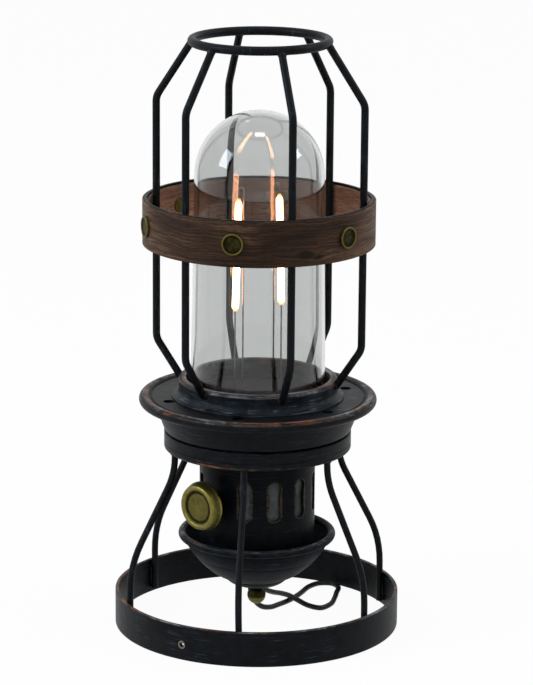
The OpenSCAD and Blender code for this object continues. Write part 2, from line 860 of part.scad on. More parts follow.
// Down behind the ball, round one loop on the table, over itself and out to the hole
inner_points = [
  [top_xy.x, top_xy.y, bowl_z - bush_t - fit - cord_d],
  [top_xy.x, top_xy.y, 19],
  [-0.5, 10, 11],
  [5, 13.5, 4.5],
  [12, 18, lie],
  [18.5, 23, lie],
  [26, 30, lie],
  [33, 39, lie],
  [38.5, 48, lie],
  [44, 57.5, lie],
  [52, 64.5, lie],
  [61, 63.5, lie],
  [64.5, 54.5, lie],
  [61.5, 43, lie],
  [58.5, 32, lie],
  [54, 20, lie],
  [46, 12.5, lie],
  [37.5, 16, lie + 1],
  [31, 23, hump - 1],
  [26, 30, hump],
  [21.5, 38, hump - 1],
  [17.5, 46.5, lie + 1],
  [13.5, 55, lie],
  [8, 65.5, lie],
  [3, 75.5, lie + 2],
  [0, base_r - 12, exit_z],
  [0, relief_inner - fit - cord_d, exit_z]
];
// Both ends run straight for one diameter, square to what they meet
inner_run = concat(
  [inner_points[0] + [0, 0, cord_d]],
  curve(inner_points, 2),
  [[0, relief_inner - fit, exit_z]]
);

coil_swing = layer_turns * coil_pitch / 2;
coil_out_r = coil_mid_r + coil_swing;
coil_low_z = 1 + fit + cord_r;
coil_centre = [coil_out_r, base_r + 61];
coil_steps = 24;
coil_turns = layer_turns * coil_layers;
coil_high_z = coil_low_z + (coil_layers - 1) * coil_pitch;

// Radius and height of the coil after some turns: each layer winds in or out, and
// the climb to the next fills the half turn round the place where it reverses
function layer_of(n) = min(floor(n / layer_turns), coil_layers - 1);
function coil_radius(n) =
  let (k = layer_of(n), part = n - k * layer_turns)
  k % 2 == 0 ? coil_out_r - part * coil_pitch : coil_out_r - (layer_turns - part) * coil_pitch;
function climb(n, reversal) = min(1, max(0, (n - reversal + 0.25) / 0.5));
function coil_height(n) =
  coil_low_z + coil_pitch * len_sum([for (k = [1:coil_layers - 1]) climb(n, k * layer_turns)]);
function len_sum(v, i = 0) = i < len(v) ? v[i] + len_sum(v, i + 1) : 0;

coil_run = [
  for (i = [0:coil_steps * coil_turns])
    let (n = i / coil_steps, a = 180 - 360 * n, r = coil_radius(n))
    [coil_centre.x + r * cos(a), coil_centre.y + r * sin(a), coil_height(n)]
];
coil_points = concat(
  [coil_run[0] - [0, cord_d, 0]],
  coil_run,
  [coil_run[len(coil_run) - 1] - [0, cord_d, 0]]
);
coil_end = coil_points[len(coil_points) - 1];

relief_tip = base_r + relief_l;
lead_points = [
  [0, relief_tip, exit_z],
  [0, relief_tip + 5, exit_z],
  [0, relief_tip + 15, exit_z - 2.5],
  [0, relief_tip + 26, coil_low_z + 0.7],
  [0, coil_points[0].y - 4, coil_low_z],
  coil_points[0]
];

plug_z = plug_h / 2 + 0.2;
plug_start = coil_end.y - 22;
tail_points = [
  coil_end,
  coil_end - [0, 4, 0],
  [coil_end.x, coil_end.y - 9, coil_end.z - (coil_end.z - plug_z) * 0.3],
  [coil_end.x, coil_end.y - 14, coil_end.z - (coil_end.z - plug_z) * 0.75],
  [coil_end.x, plug_start + 4, plug_z],
  [coil_end.x, plug_start, plug_z]
];

// A smooth curve through points, with some steps from each point to the next
function curve_point(a, b, c, d, t) =
  0.5 * (2 * b + (c - a) * t + (2 * a - 5 * b + 4 * c - d) * t * t + (3 * b - a - 3 * c + d) * t * t * t);
function curve(p, steps) = [
  for (i = [0:len(p) - 2], s = [0:steps - 1])
    curve_point(p[max(i - 1, 0)], p[i], p[i + 1], p[min(i + 2, len(p) - 1)], s / steps),
  p[len(p) - 1]
];
function run_length(p) = len_sum([for (i = [1:len(p) - 1]) norm(p[i] - p[i - 1])]);
function tangent(p, i) = unit(p[min(i + 1, len(p) - 1)] - p[max(i - 1, 0)]);
function carry(n, t) = unit(n - (n * t) * t);
function normals(p, first) = [
  for (i = 0, n = carry(first, tangent(p, 0)); i < len(p);
       i = i + 1, n = i < len(p) ? carry(n, tangent(p, i)) : n) n
];

// A tube of some flat sides along a run of points
module tube(p, flat_sides, first_normal) {
  n = normals(p, first_normal);
  last = len(p) - 1;
  rings = [
    for (i = [0:last], k = [0:flat_sides - 1])
      let (a = 360 * (k + 0.5) / flat_sides, b = cross(tangent(p, i), n[i]))
      p[i] + cord_r * (n[i] * cos(a) + b * sin(a))
  ];
  walls = [
    for (i = [0:last - 1], k = [0:flat_sides - 1])
      let (a = i * flat_sides + k, b = i * flat_sides + (k + 1) % flat_sides)
      each [[a, a + flat_sides, b], [b, a + flat_sides, b + flat_sides]]
  ];
  near_cap = [for (k = [0:flat_sides - 1]) k];
  far_cap = [for (k = [flat_sides - 1:-1:0]) last * flat_sides + k];
  rotate([0, 0, cord_turn])
    polyhedron(points = rings, faces = concat([near_cap], walls, [far_cap]), convexity = 10);
}

lead_run = curve(lead_points, 1);
tail_run = curve(tail_points, 1);

// The coil's least gap to itself, between points at least half a turn apart
coil_gap = min([
  for (i = [0:len(coil_run) - 1], j = [i + coil_steps / 2:1:len(coil_run) - 1])
    norm(coil_run[i] - coil_run[j])
]) - cord_d;
cord_total = run_length(inner_run) + relief_tip - relief_inner
  + run_length(lead_run) + run_length(coil_points) + run_length(tail_run);
echo(inner = run_length(inner_run), lead = run_length(lead_run), coil = run_length(coil_points));
echo(tail = run_length(tail_run), total = cord_total, coil_least_gap = coil_gap);

module cord_bush() {
  color(black)
    translate([cord_top.x, cord_top.y, 0]) {
      translate([0, 0, bowl_z - bush_t]) cylinder(r1 = bush_r + 0.6, r2 = bush_r + 1, h = bush_t - fit / 2);
      translate([0, 0, bowl_z - fit]) cylinder(r = bush_r, h = bowl_wall + 1.5);
    }
}

module cord_inner() {
  color(black) tube(inner_run, 8, [1, 0, 0]);
}

// A flange inside the ring, a collar outside it, and a tapered tail cut into ribs so
// that it bends evenly
module strain_relief() {
  tail_low = base_r + 3;
  tail_high = relief_tip - 1;
  tip_r = cord_r + 0.5;
  groove_depth = 0.7;
  pitch = (tail_high - tail_low) / relief_ribs;
  ribs = [
    for (i = [0:relief_ribs - 1])
      let (z = tail_low + pitch * i, r = relief_neck_r + (tip_r - relief_neck_r) * i / relief_ribs)
      each [
        [r, z], [r - 0.15, z + 0.6 * pitch],
        [r - groove_depth, z + 0.66 * pitch], [r - groove_depth, z + 0.92 * pitch]
      ]
  ];
  color(black)
    outward(exit_turn, exit_z)
      rotate_extrude()
        polygon(concat(
          [[0, relief_inner], [relief_collar_r, relief_inner]],
          [[relief_collar_r, relief_seat], [relief_neck_r, relief_seat]],
          [[relief_neck_r, base_r + fit], [relief_collar_r, base_r + fit]],
          [[relief_collar_r, base_r + 1.5], [relief_collar_r - 0.5, base_r + 2]],
          ribs,
          [[tip_r, tail_high + 0.4], [tip_r - 0.2, relief_tip], [0, relief_tip]]
        ));
}

module cord_lead() {
  color(black) tube(lead_run, 8, [0, 0, 1]);
}

module cord_coil() {
  color(black) tube(coil_points, 6, [0, 0, 1]);
}

module tie_outline(grow) {
  square([coil_width + 2 * grow, coil_stack + 2 * grow - 4], center = true);
  square([coil_width + 2 * grow - 4, coil_stack + 2 * grow], center = true);
  for (x = [-1, 1], z = [-1, 1])
    translate([x * (coil_width / 2 + grow - 2), z * (coil_stack / 2 + grow - 2)]) circle(r = 2);
}

// A flat strap round all the turns on the coil's far side
coil_width = 2 * coil_swing + cord_d + 1.2;
coil_stack = (coil_layers - 1) * coil_pitch + cord_d + 0.2;
tie_w = 6;
tie_t = 0.9;

module coil_tie() {
  mid_z = (coil_low_z + coil_high_z) / 2;
  color("#2a2d30")
    rotate([0, 0, cord_turn])
      translate([coil_centre.x + tie_w / 2, coil_centre.y + coil_mid_r, mid_z])
        rotate([90, 0, -90])
          linear_extrude(height = tie_w)
            difference() {
              tie_outline(tie_t);
              tie_outline(0);
            }
}

module cord_tail() {
  color(black) tube(tail_run, 8, [0, 0, 1]);
}

plug_neck_l = 8;
blade_seat = 6;

// A neck of rings that widen towards the grip
module plug_neck() {
  rings = 4;
  pitch = plug_neck_l / rings;
  rotate_extrude()
    polygon(concat(
      [[0, 0]],
      [
        for (i = [0:rings - 1])
          let (r = cord_r + 1.4 + 0.5 * i, z = pitch * i)
          each [[r, z], [r, z + 0.6 * pitch], [r - 0.8, z + 0.65 * pitch], [r - 0.8, z + 0.95 * pitch]]
      ],
      [[5.2, plug_neck_l], [5.2, plug_neck_l + 2], [0, plug_neck_l + 2]]
    ));
}

// Ribs for the fingers on both sides of the grip
module finger_ribs() {
  for (s = [-1, 1], i = [0:3])
    translate([s * (plug_w / 2 - 0.15), 0, plug_neck_l + 5 + 3 * i])
      rotate([90, 0, 0]) cylinder(r = 0.8, h = plug_h - 2 * plug_round - 0.5, center = true);
}

module plug_body() {
  color(black)
    rotate([0, 0, cord_turn])
      translate([coil_end.x, plug_start, plug_z])
        rotate([90, 0, 0])
          difference() {
            union() {
              plug_neck();
              translate([0, 0, plug_neck_l]) plug_block(plug_w - 3, plug_h - 3, 2);
              translate([0, 0, plug_neck_l + 1]) plug_block(plug_w, plug_h, plug_l - plug_neck_l - 1);
              finger_ribs();
            }
            blade_axes()
              translate([-blade_t / 2 - fit, -blade_w / 2 - fit, plug_l - blade_seat])
                cube([blade_t + 2 * fit, blade_w + 2 * fit, blade_seat + 2]);
          }
}

plug_round = 3.5;

// A block with round edges along its length
module plug_block(w, h, l) {
  r = plug_round;
  linear_extrude(height = l) {
    square([w, h - 2 * r], center = true);
    square([w - 2 * r, h], center = true);
    for (x = [-1, 1], y = [-1, 1]) translate([x * (w / 2 - r), y * (h / 2 - r)]) circle(r = r);
  }
}

blade_t = 1.5;
blade_w = 6.35;
blade_l = 16;
blade_gap = 12.7;
blade_hole_d = 3.2;
// From a blade's end to the middle of its hole
blade_hole_in = 4.3;

module blade_axes() {
  for (s = [-1, 1]) translate([s * blade_gap / 2, 0, 0]) children();
}

// Flat blades with chamfered ends, each with the hole that a socket's spring finds
module plug_blades() {
  chamfer = 1.2;
  half = blade_w / 2;
  color("silver")
    rotate([0, 0, cord_turn])
      translate([coil_end.x, plug_start, plug_z])
        rotate([90, 0, 0])
          blade_axes()
            translate([blade_t / 2, 0, plug_l])
              rotate([0, -90, 0])
                difference() {
                  linear_extrude(height = blade_t)
                    polygon([
                      [fit - blade_seat, -half], [blade_l - chamfer, -half], [blade_l, chamfer - half],
                      [blade_l, half - chamfer], [blade_l - chamfer, half], [fit - blade_seat, half]
                    ]);
                  translate([blade_l - blade_hole_in, 0, -1])
                    cylinder(d = blade_hole_d, h = blade_t + 2);
                }
}

base_ring();
hole_eyelet();
leg(0);  // leg_1
leg(1);  // leg_2
leg(2);  // leg_3
leg(3);  // leg_4
leg(4);  // leg_5
leg(5);  // leg_6
drum();
burner_tube();
inner_sleeve();
drip_bowl();
center_rod();
rod_nut();
finial_ball();
dimmer_body();
dimmer_nut();
knob_shaft();
knob();
dish();
dish_screws();
led_driver();
gallery();
lamp_plate();
glass_gasket();
glass_dome();
filament(filament_turn);  // filament_left
filament(filament_turn + 180);  // filament_right
filament_frame(filament_turn);  // filament_frame_left
filament_frame(filament_turn + 180);  // filament_frame_right
cage_bar(0);  // cage_bar_1
cage_bar(1);  // cage_bar_2
cage_bar(2);  // cage_bar_3
cage_bar(3);  // cage_bar_4
cage_bar(4);  // cage_bar_5
cage_bar(5);  // cage_bar_6
cage_top_ring();
band_hoop();
band_wrap();
band_lining();
band_studs();
stud_backs();
cord_bush();
cord_inner();
strain_relief();
cord_lead();
cord_coil();
coil_tie();
cord_tail();
plug_body();
plug_blades();
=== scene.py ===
"""The looks of a lantern table lamp: a wooden hoop on a wire cage round a glass dome.

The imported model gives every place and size. The pieces that show are modelled again here
with their rounded edges, welds and turned lines, and every surface gets its finish.
Lengths are millimetres until they reach a mesh, and turns run counterclockwise from -Y.
"""
import logging
import math
from collections.abc import Iterator, Sequence
from contextlib import contextmanager
from dataclasses import dataclass, field
from enum import Enum
from itertools import pairwise
from typing import Any

import bpy
import numpy as np
from mathutils import Matrix, Vector


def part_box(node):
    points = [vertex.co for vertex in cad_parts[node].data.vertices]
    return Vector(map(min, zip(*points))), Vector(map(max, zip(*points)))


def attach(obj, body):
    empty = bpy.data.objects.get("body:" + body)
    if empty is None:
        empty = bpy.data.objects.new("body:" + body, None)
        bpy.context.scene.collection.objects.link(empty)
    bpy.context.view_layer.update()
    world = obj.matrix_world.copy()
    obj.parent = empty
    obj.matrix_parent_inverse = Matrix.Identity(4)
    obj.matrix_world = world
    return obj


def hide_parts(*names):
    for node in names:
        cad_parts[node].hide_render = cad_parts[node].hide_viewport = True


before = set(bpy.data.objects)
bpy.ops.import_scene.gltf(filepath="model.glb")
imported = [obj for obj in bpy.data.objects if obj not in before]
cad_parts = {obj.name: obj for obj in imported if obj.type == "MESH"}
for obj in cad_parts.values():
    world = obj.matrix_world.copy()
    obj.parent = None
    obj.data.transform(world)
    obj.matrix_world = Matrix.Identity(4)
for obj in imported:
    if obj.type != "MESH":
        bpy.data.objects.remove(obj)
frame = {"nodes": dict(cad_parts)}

LOG = logging.getLogger("lantern")
MM = 0.001
PER_MM = 1 / MM
MERGE = 2e-6
WEAR = "wear"
LAID = Matrix.Rotation(math.radians(90), 4, "X")

Piece = bpy.types.Object
Point = tuple[float, float]
Spot = tuple[float, float, float]

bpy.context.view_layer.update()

# What several sub-assemblies share, in the sizes of part.scad.
SIDES = 6
STEP = 360 / SIDES
EXIT_TURN = 230.0
EXIT_Z = 8.0
RING_WALL = 2.5
KNOB_Z = 91.5
GALLERY_R = 52.4


class Body(Enum):
    """The two things that move apart: the lamp itself and its knob."""

    LAMP = "root"
    KNOB = "knob"


class Slot(Enum):
    """The record's material slots, named beside the modelled pieces."""

    IRON = "antiqued_iron"
    BRASS = "antique_brass"
    DARK_MOULDING = "dark_moulding"
    RUBBER = "black_rubber"
    CORD = "cord_sheath"
    GLASS = "clear_glass"
    LIT = "lit_filament"
    WALNUT = "walnut_wood"
    LINING = "lining_wood"


# ---- The frame's sizes ----


@dataclass(frozen=True)
class Span:
    """How far a CAD node reaches, in millimetres: its lowest and highest point and its radius."""

    low: float
    high: float
    radius: float


def span(node: str) -> Span:
    """Reads how far a CAD node reaches.

    Args:
        node: The node's name.

    Returns:
        Its heights, and the larger of its half widths.
    """
    low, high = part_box(node)
    return Span(low.z * PER_MM, high.z * PER_MM, max(high.x, high.y) * PER_MM)


# ---- Making meshes ----


def select_only(piece: Piece) -> None:
    """Leaves one piece selected and active.

    Args:
        piece: The piece.
    """
    bpy.ops.object.select_all(action="DESELECT")
    piece.select_set(True)
    bpy.context.view_layer.objects.active = piece


@contextmanager
def editing(piece: Piece) -> Iterator[None]:
    """Opens a piece in edit mode with all of it selected, and closes it again.

    Args:
        piece: The mesh object to edit.

    Returns:
        Nothing to work with: the operators act on the open mesh.
    """
    select_only(piece)
    bpy.ops.object.mode_set(mode="EDIT")
    bpy.ops.mesh.select_all(action="SELECT")
    yield
    bpy.ops.object.mode_set(mode="OBJECT")


def named(name: str) -> Piece:
    """Names the primitive that was just added.

    Args:
        name: Its name, and its mesh's.

    Returns:
        The piece.
    """
    piece = bpy.context.object
    piece.name = name
    piece.data.name = name
    return piece


def put(piece: Piece, where: Matrix) -> Piece:
    """Moves a piece and writes its place into its mesh.

    Args:
        piece: The piece, whose object is at the origin.
        where: Where it goes, in metres.

    Returns:
        The same piece, its object back at the origin.
    """
    piece.matrix_world = where
    select_only(piece)
    bpy.ops.object.transform_apply(location=True, rotation=True, scale=True)
    return piece


def outward(turn: float, height: float) -> Matrix:
    """The place of an axis that points out of the lamp.

    Args:
        turn: Degrees from -Y.
        height: Height of the axis, in millimetres.

    Returns:
        A matrix whose local z is the distance from the lamp's middle and local y is up.
    """
    lifted = Matrix.Translation((0, 0, height * MM))
    return Matrix.Rotation(math.radians(turn), 4, "Z") @ lifted @ LAID


def round_turn(turn: float) -> Matrix:
    """Turns what was drawn in the plane of +X and +Z to a turn of the lamp."""
    return Matrix.Rotation(math.radians(turn - 90), 4, "Z")


def copied(piece: Piece, name: str, where: Matrix) -> Piece:
    """Copies a piece with its own mesh.

    Args:
        piece: The piece to copy.
        name: The copy's name.
        where: Where the copy goes.

    Returns:
        The copy.
    """
    select_only(piece)
    bpy.ops.object.duplicate(linked=False)
    return put(named(name), where)


def joined(name: str, parts: Sequence[Piece]) -> Piece:
    """Joins parts into the first of them.

    Args:
        name: The joined piece's name.
        parts: The parts, all at the origin.

    Returns:
        The joined piece.
    """
    select_only(parts[0])
    for part in parts[1:]:
        part.select_set(True)
    bpy.ops.object.join()
    return named(name)


def finished(piece: Piece, kind: str, **settings: Any) -> Piece:
    """Adds a modifier with its settings and applies it.

    Args:
        piece: The piece to change.
        kind: The modifier's type.
        **settings: The modifier's settings.

    Returns:
        The same piece.
    """
    modifier = piece.modifiers.new(kind.title(), kind)
    for setting, value in settings.items():
        setattr(modifier, setting, value)
    select_only(piece)
    bpy.ops.object.modifier_apply(modifier=modifier.name)
    return piece


def carved(piece: Piece, cutters: Sequence[Piece]) -> Piece:
    """Cuts holes through a piece and removes the cutters.

    Args:
        piece: The piece to cut.
        cutters: Closed shapes that stand where the holes go.

    Returns:
        The same piece.
    """
    cutter = joined("cutter", cutters)
    finished(piece, "BOOLEAN", operation="DIFFERENCE", solver="EXACT", object=cutter)
    bpy.data.objects.remove(cutter)
    return piece


def drill(radius: float, length: float, where: Matrix) -> Piece:
    """Makes a round cutter.

    Args:
        radius: Its radius, in millimetres.
        length: Its length.
        where: Where its middle goes, and the way it points.

    Returns:
        The cutter.
    """
    bpy.ops.mesh.primitive_cylinder_add(vertices=40, radius=radius * MM, depth=length * MM)
    return put(named("drill"), where)


def smoothed(piece: Piece, degrees: float = 35) -> Piece:
    """Shades a piece smooth.

    Args:
        piece: The piece.
        degrees: Edges that bend by more than this stay sharp.

    Returns:
        The same piece.
    """
    select_only(piece)
    bpy.ops.object.shade_smooth_by_angle(angle=math.radians(degrees))
    return piece


def places_of(piece: Piece) -> np.ndarray:
    """Reads where a mesh's vertices are.

    Args:
        piece: The piece.

    Returns:
        Their places in millimetres, one row each.
    """
    places = np.empty(len(piece.data.vertices) * 3)
    piece.data.vertices.foreach_get("co", places)
    return places.reshape(-1, 3) * PER_MM


def wear_out(piece: Piece, values: np.ndarray) -> None:
    """Writes how worn each vertex is, from 0 to 1, for the finishes to read."""
    layer = piece.data.attributes.get(WEAR) or piece.data.attributes.new(WEAR, "FLOAT", "POINT")
    layer.data.foreach_set("value", values.astype(np.float32))


def wear_and_highlight_toward(piece: Piece, turn: float, spread: float, rest: float = 0.25) -> Piece:
    """Fades a piece's wear away from one turn, where that wear, partly a painted highlight, is brightest.

    Args:
        piece: The piece, with its wear.
        turn: The turn where the wear and the painted highlight are strongest.
        spread: How far to each side, in degrees, the rubbing fades.
        rest: The share of it that stays all round.

    Returns:
        The same piece.
    """
    places = places_of(piece)
    worn = np.empty(len(places))
    piece.data.attributes[WEAR].data.foreach_get("value", worn)
    around = np.degrees(np.arctan2(places[:, 0], -places[:, 1]))
    off = np.abs((around - turn + 180) % 360 - 180)
    wear_out(piece, worn * (rest + (1 - rest) * np.clip(1 - off / spread, 0, 1)))
    return piece


@dataclass
class Outline:
    """A turned piece's outline in radius and height, and how worn each of its corners is."""

    points: list[Point] = field(default_factory=list)
    wear: list[float] = field(default_factory=list)

    def to(self, radius: float, height: float, wear: float = 0.0) -> "Outline":
        """Goes on to a corner.

        Args:
            radius: The corner's radius.
            height: Its height.
            wear: How worn it is, from 0 to 1.

        Returns:
            The same outline.
        """
        self.points.append((radius, height))
        self.wear.append(wear)
        return self

    def along(self, points: Sequence[Point], wear: float = 0.0) -> "Outline":
        """Goes on through several corners.

        Args:
            points: The corners' radii and heights.
            wear: How worn they are.

        Returns:
            The same outline.
        """
        for point in points:
            self.to(*point, wear)
        return self

    def arc(
        self, centre: Point, radius: float, start: float, end: float, wear: float = 0.0, steps: int = 6
    ) -> "Outline":
        """Goes on round an arc.

        Args:
            centre: The arc's middle.
            radius: The arc's radius.
            start: The angle it starts at, in degrees from the outward direction.
            end: The angle it ends at.
            wear: How worn it is.
            steps: How many straight steps it takes.

        Returns:
            The same outline.
        """
        for i in range(steps + 1):
            angle = math.radians(start + (end - start) * i / steps)
            self.to(centre[0] + radius * math.cos(angle), centre[1] + radius * math.sin(angle), wear)
        return self

    def wear_on(self, piece: Piece) -> Piece:
        """Gives each vertex of a piece the wear of the outline's nearest corner.

        Args:
            piece: A piece spun about Z.

        Returns:
            The same piece.
        """
        places = places_of(piece)
        turned = np.column_stack([np.hypot(places[:, 0], places[:, 1]), places[:, 2]])
        gaps = ((turned[:, None] - np.array(self.points)[None]) ** 2).sum(axis=2)
        wear_out(piece, np.array(self.wear)[gaps.argmin(axis=1)])
        return piece


def chain(name: str, spots: Sequence[Spot]) -> Piece:
    """Draws a wire through spots by extruding one corner after another.

    Args:
        name: The piece's name.
        spots: The corners, in millimetres.

    Returns:
        A mesh of edges only.
    """
    corners = [Vector(spot) * MM for spot in spots]
    bpy.ops.mesh.primitive_plane_add(size=MM)
    piece = named(name)
    with editing(piece):
        bpy.ops.mesh.merge(type="CENTER")
        bpy.ops.transform.translate(value=corners[0])
        for here, there in pairwise(corners):
            bpy.ops.mesh.extrude_region_move(TRANSFORM_OT_translate={"value": there - here})
    return piece


def spun(name: str, outline: Outline, steps: int) -> Piece:
    """Spins a closed outline about Z.

    Args:
        name: The piece's name.
        outline: The outline, in radius and height.
        steps: How many steps the full turn takes.

    Returns:
        The turned piece, with its wear.
    """
    corners = [(radius, 0.0, height) for radius, height in outline.points]
    piece = chain(name, [*corners, corners[0]])
    with editing(piece):
        bpy.ops.mesh.spin(steps=steps, angle=math.tau, center=(0, 0, 0), axis=(0, 0, 1))
        bpy.ops.mesh.select_all(action="SELECT")
        bpy.ops.mesh.remove_doubles(threshold=MERGE)
        bpy.ops.mesh.normals_make_consistent(inside=False)
    return outline.wear_on(piece)


def rounded_band(outer: float, inner: float, low: float, high: float, edge: float, rub: float) -> Outline:
    """The outline of a flat hoop with rounded edges that are rubbed.

    Args:
        outer: Its outer radius.
        inner: Its inner radius.
        low: Its lower edge.
        high: Its upper edge.
        edge: The rounding of its edges.
        rub: How worn the edges are.

    Returns:
        The closed outline.
    """
    guard = edge + 0.5
    return (
        Outline()
        .arc((outer - edge, low + edge), edge, -90, 0, rub * 0.8, 3)
        .to(outer, low + guard, rub * 0.1)
        .to(outer, low + 2.5 * guard)
        .to(outer, high - 2.5 * guard)
        .to(outer, high - guard, rub * 0.1)
        .arc((outer - edge, high - edge), edge, 0, 90, rub, 3)
        .arc((inner + edge, high - edge), edge, 90, 180, rub, 3)
        .to(inner, high - guard, rub * 0.1)
        .to(inner, high - 2.5 * guard)
        .to(inner, low + 2.5 * guard)
        .arc((inner + edge, low + edge), edge, 180, 270, rub * 0.5, 3)
    )


def torus_outline(middle: Point, radius: float, steps: int = 20) -> Outline:
    """The outline of a round rod bent to a ring, worn a little on top.

    Args:
        middle: The rod's middle, in radius and height.
        radius: The rod's own radius.
        steps: How many corners the rod's section has.

    Returns:
        The closed outline.
    """
    outline = Outline().arc(middle, radius, 0, 360 * (1 - 1 / steps), 0.0, steps - 1)
    outline.wear = [max(0.0, (height - middle[1]) / radius) * 0.2 for _, height in outline.points]
    return outline


def bent_rod(name: str, corners: Sequence[Point], bends: Sequence[float], radius: float) -> Piece:
    """Bends a round rod through corners in the plane of radius and height.

    Args:
        name: The piece's name.
        corners: The corners, from one end to the other.
        bends: The bend radius at each inner corner.
        radius: The rod's own radius.

    Returns:
        The rod, in the plane of +X and +Z.
    """
    sides = 24
    spots = [Vector(corner) for corner in corners]
    ways = [(there - here).normalized() for here, there in pairwise(spots)]
    tilt = math.atan2(ways[0].x, ways[0].y)
    start = (spots[0].x * MM, 0, spots[0].y * MM)
    bpy.ops.mesh.primitive_circle_add(
        vertices=sides, radius=radius * MM, fill_type="NOTHING", location=start, rotation=(0, tilt, 0)
    )
    rod = named(name)
    bpy.ops.object.transform_apply(location=True, rotation=True, scale=True)
    here = spots[0]
    with editing(rod):
        for corner, bend, way, after in zip(spots[1:], [*bends, 0], ways, [*ways[1:], ways[-1]]):
            angle = way.angle(after) if bend else 0.0
            stop = corner - way * bend * math.tan(angle / 2)
            run = (stop - here) * MM
            bpy.ops.mesh.extrude_region_move(TRANSFORM_OT_translate={"value": (run.x, 0, run.y)})
            here = stop
            if bend:
                side = math.copysign(1, way.x * after.y - way.y * after.x)
                centre = stop + side * bend * Vector((-way.y, way.x))
                bpy.ops.mesh.spin(
                    steps=max(5, round(math.degrees(angle) / 5)),
                    angle=side * angle,
                    center=(centre.x * MM, 0, centre.y * MM),
                    axis=(0, 1, 0),
                )
                here = corner + after * bend * math.tan(angle / 2)
        bpy.ops.mesh.select_all(action="SELECT")
        bpy.ops.mesh.fill_holes(sides=sides)
        bpy.ops.mesh.normals_make_consistent(inside=False)
    return rod


def weld_bead(middle: Spot, size: Spot, seed: int) -> Piece:
    """Lays an uneven bead of weld.

    Args:
        middle: Its middle.
        size: Its half lengths along X, Y and Z.
        seed: Sets its unevenness, the same each run.

    Returns:
        The bead.
    """
    bpy.ops.mesh.primitive_ico_sphere_add(subdivisions=3, radius=MM)
    bead = put(named("bead"), Matrix.Translation(Vector(middle) * MM) @ Matrix.Diagonal((*size, 1)))
    with editing(bead):
        bpy.ops.transform.vertex_random(offset=0.12 * min(size) * MM, seed=seed)
    finished(bead, "SUBSURF", levels=1, render_levels=1)
    wear_out(bead, np.full(len(bead.data.vertices), 0.4))
    return bead


def prism(name: str, outline: Sequence[Point], low: float, high: float) -> Piece:
    """Extrudes a flat outline.

    Args:
        name: The piece's name.
        outline: Its corners in X and Y.
        low: Where it starts along Z.
        high: Where it ends.

    Returns:
        The closed solid.
    """
    piece = chain(name, [(x, y, low) for x, y in [*outline, outline[0]]])
    with editing(piece):
        bpy.ops.mesh.remove_doubles(threshold=MERGE)
        bpy.ops.mesh.edge_face_add()
        bpy.ops.mesh.extrude_region_move(TRANSFORM_OT_translate={"value": (0, 0, (high - low) * MM)})
        bpy.ops.mesh.select_all(action="SELECT")
        bpy.ops.mesh.normals_make_consistent(inside=False)
    return piece


def smooth_line(points: Sequence[Sequence[float]], steps: int) -> list[tuple[float, ...]]:
    """A smooth line through points, in the way of part.scad's own.

    Args:
        points: The points it passes through.
        steps: Steps from each point to the next.

    Returns:
        The line's points.
    """
    ends = [np.array(points[0]), *map(np.array, points), np.array(points[-1])]
    line = []
    for a, b, c, d in zip(ends, ends[1:], ends[2:], ends[3:]):
        for i in range(steps):
            t = i / steps
            bent = 2 * b + (c - a) * t + (2 * a - 5 * b + 4 * c - d) * t * t
            line.append(tuple(0.5 * (bent + (3 * b - a - 3 * c + d) * t**3)))
    return [*line, tuple(points[-1])]


# ---- Making materials ----


def colour(hexa: str) -> tuple[float, float, float, float]:
    """Turns an sRGB hex value to linear light.

    Args:
        hexa: The colour, as # and six digits.

    Returns:
        Its red, green and blue, and an alpha of 1.
    """
    shares = [int(hexa[i : i + 2], 16) / 255 for i in (1, 3, 5)]
    red, green, blue = (s / 12.92 if s <= 0.04045 else ((s + 0.055) / 1.055) ** 2.4 for s in shares)
    return red, green, blue, 1.0


def add(
    tree: bpy.types.NodeTree,
    kind: str,
    wires: dict[str | int, Any] | None = None,
    stops: Sequence[tuple[float, str]] = (),
    **settings: Any,
) -> bpy.types.Node:
    """Adds a node with its settings and links.

    Args:
        tree: The material's node tree.
        kind: The node's type, without the words in front of it.
        wires: What goes into each input: another node's output, or a value.
        stops: A colour ramp's places and hex colours.
        **settings: The node's own settings.

    Returns:
        The node.
    """
    made = tree.nodes.new("ShaderNode" + kind)
    for setting, value in settings.items():
        setattr(made, setting, value)
    for key, value in (wires or {}).items():
        if isinstance(value, bpy.types.NodeSocket):
            tree.links.new(value, made.inputs[key])
        else:
            made.inputs[key].default_value = value
    for i, (place, _) in enumerate(stops):
        if i < 2:
            made.color_ramp.elements[i].position = place
        else:
            made.color_ramp.elements.new(place)
    for (_, shade), element in zip(stops, made.color_ramp.elements if stops else ()):
        element.color = colour(shade)
    return made


# The colour sockets of a Mix node go by number, because their names repeat.
MIX_A, MIX_B, MIX_OUT = 6, 7, 2
SMOOTH = "SMOOTHSTEP"


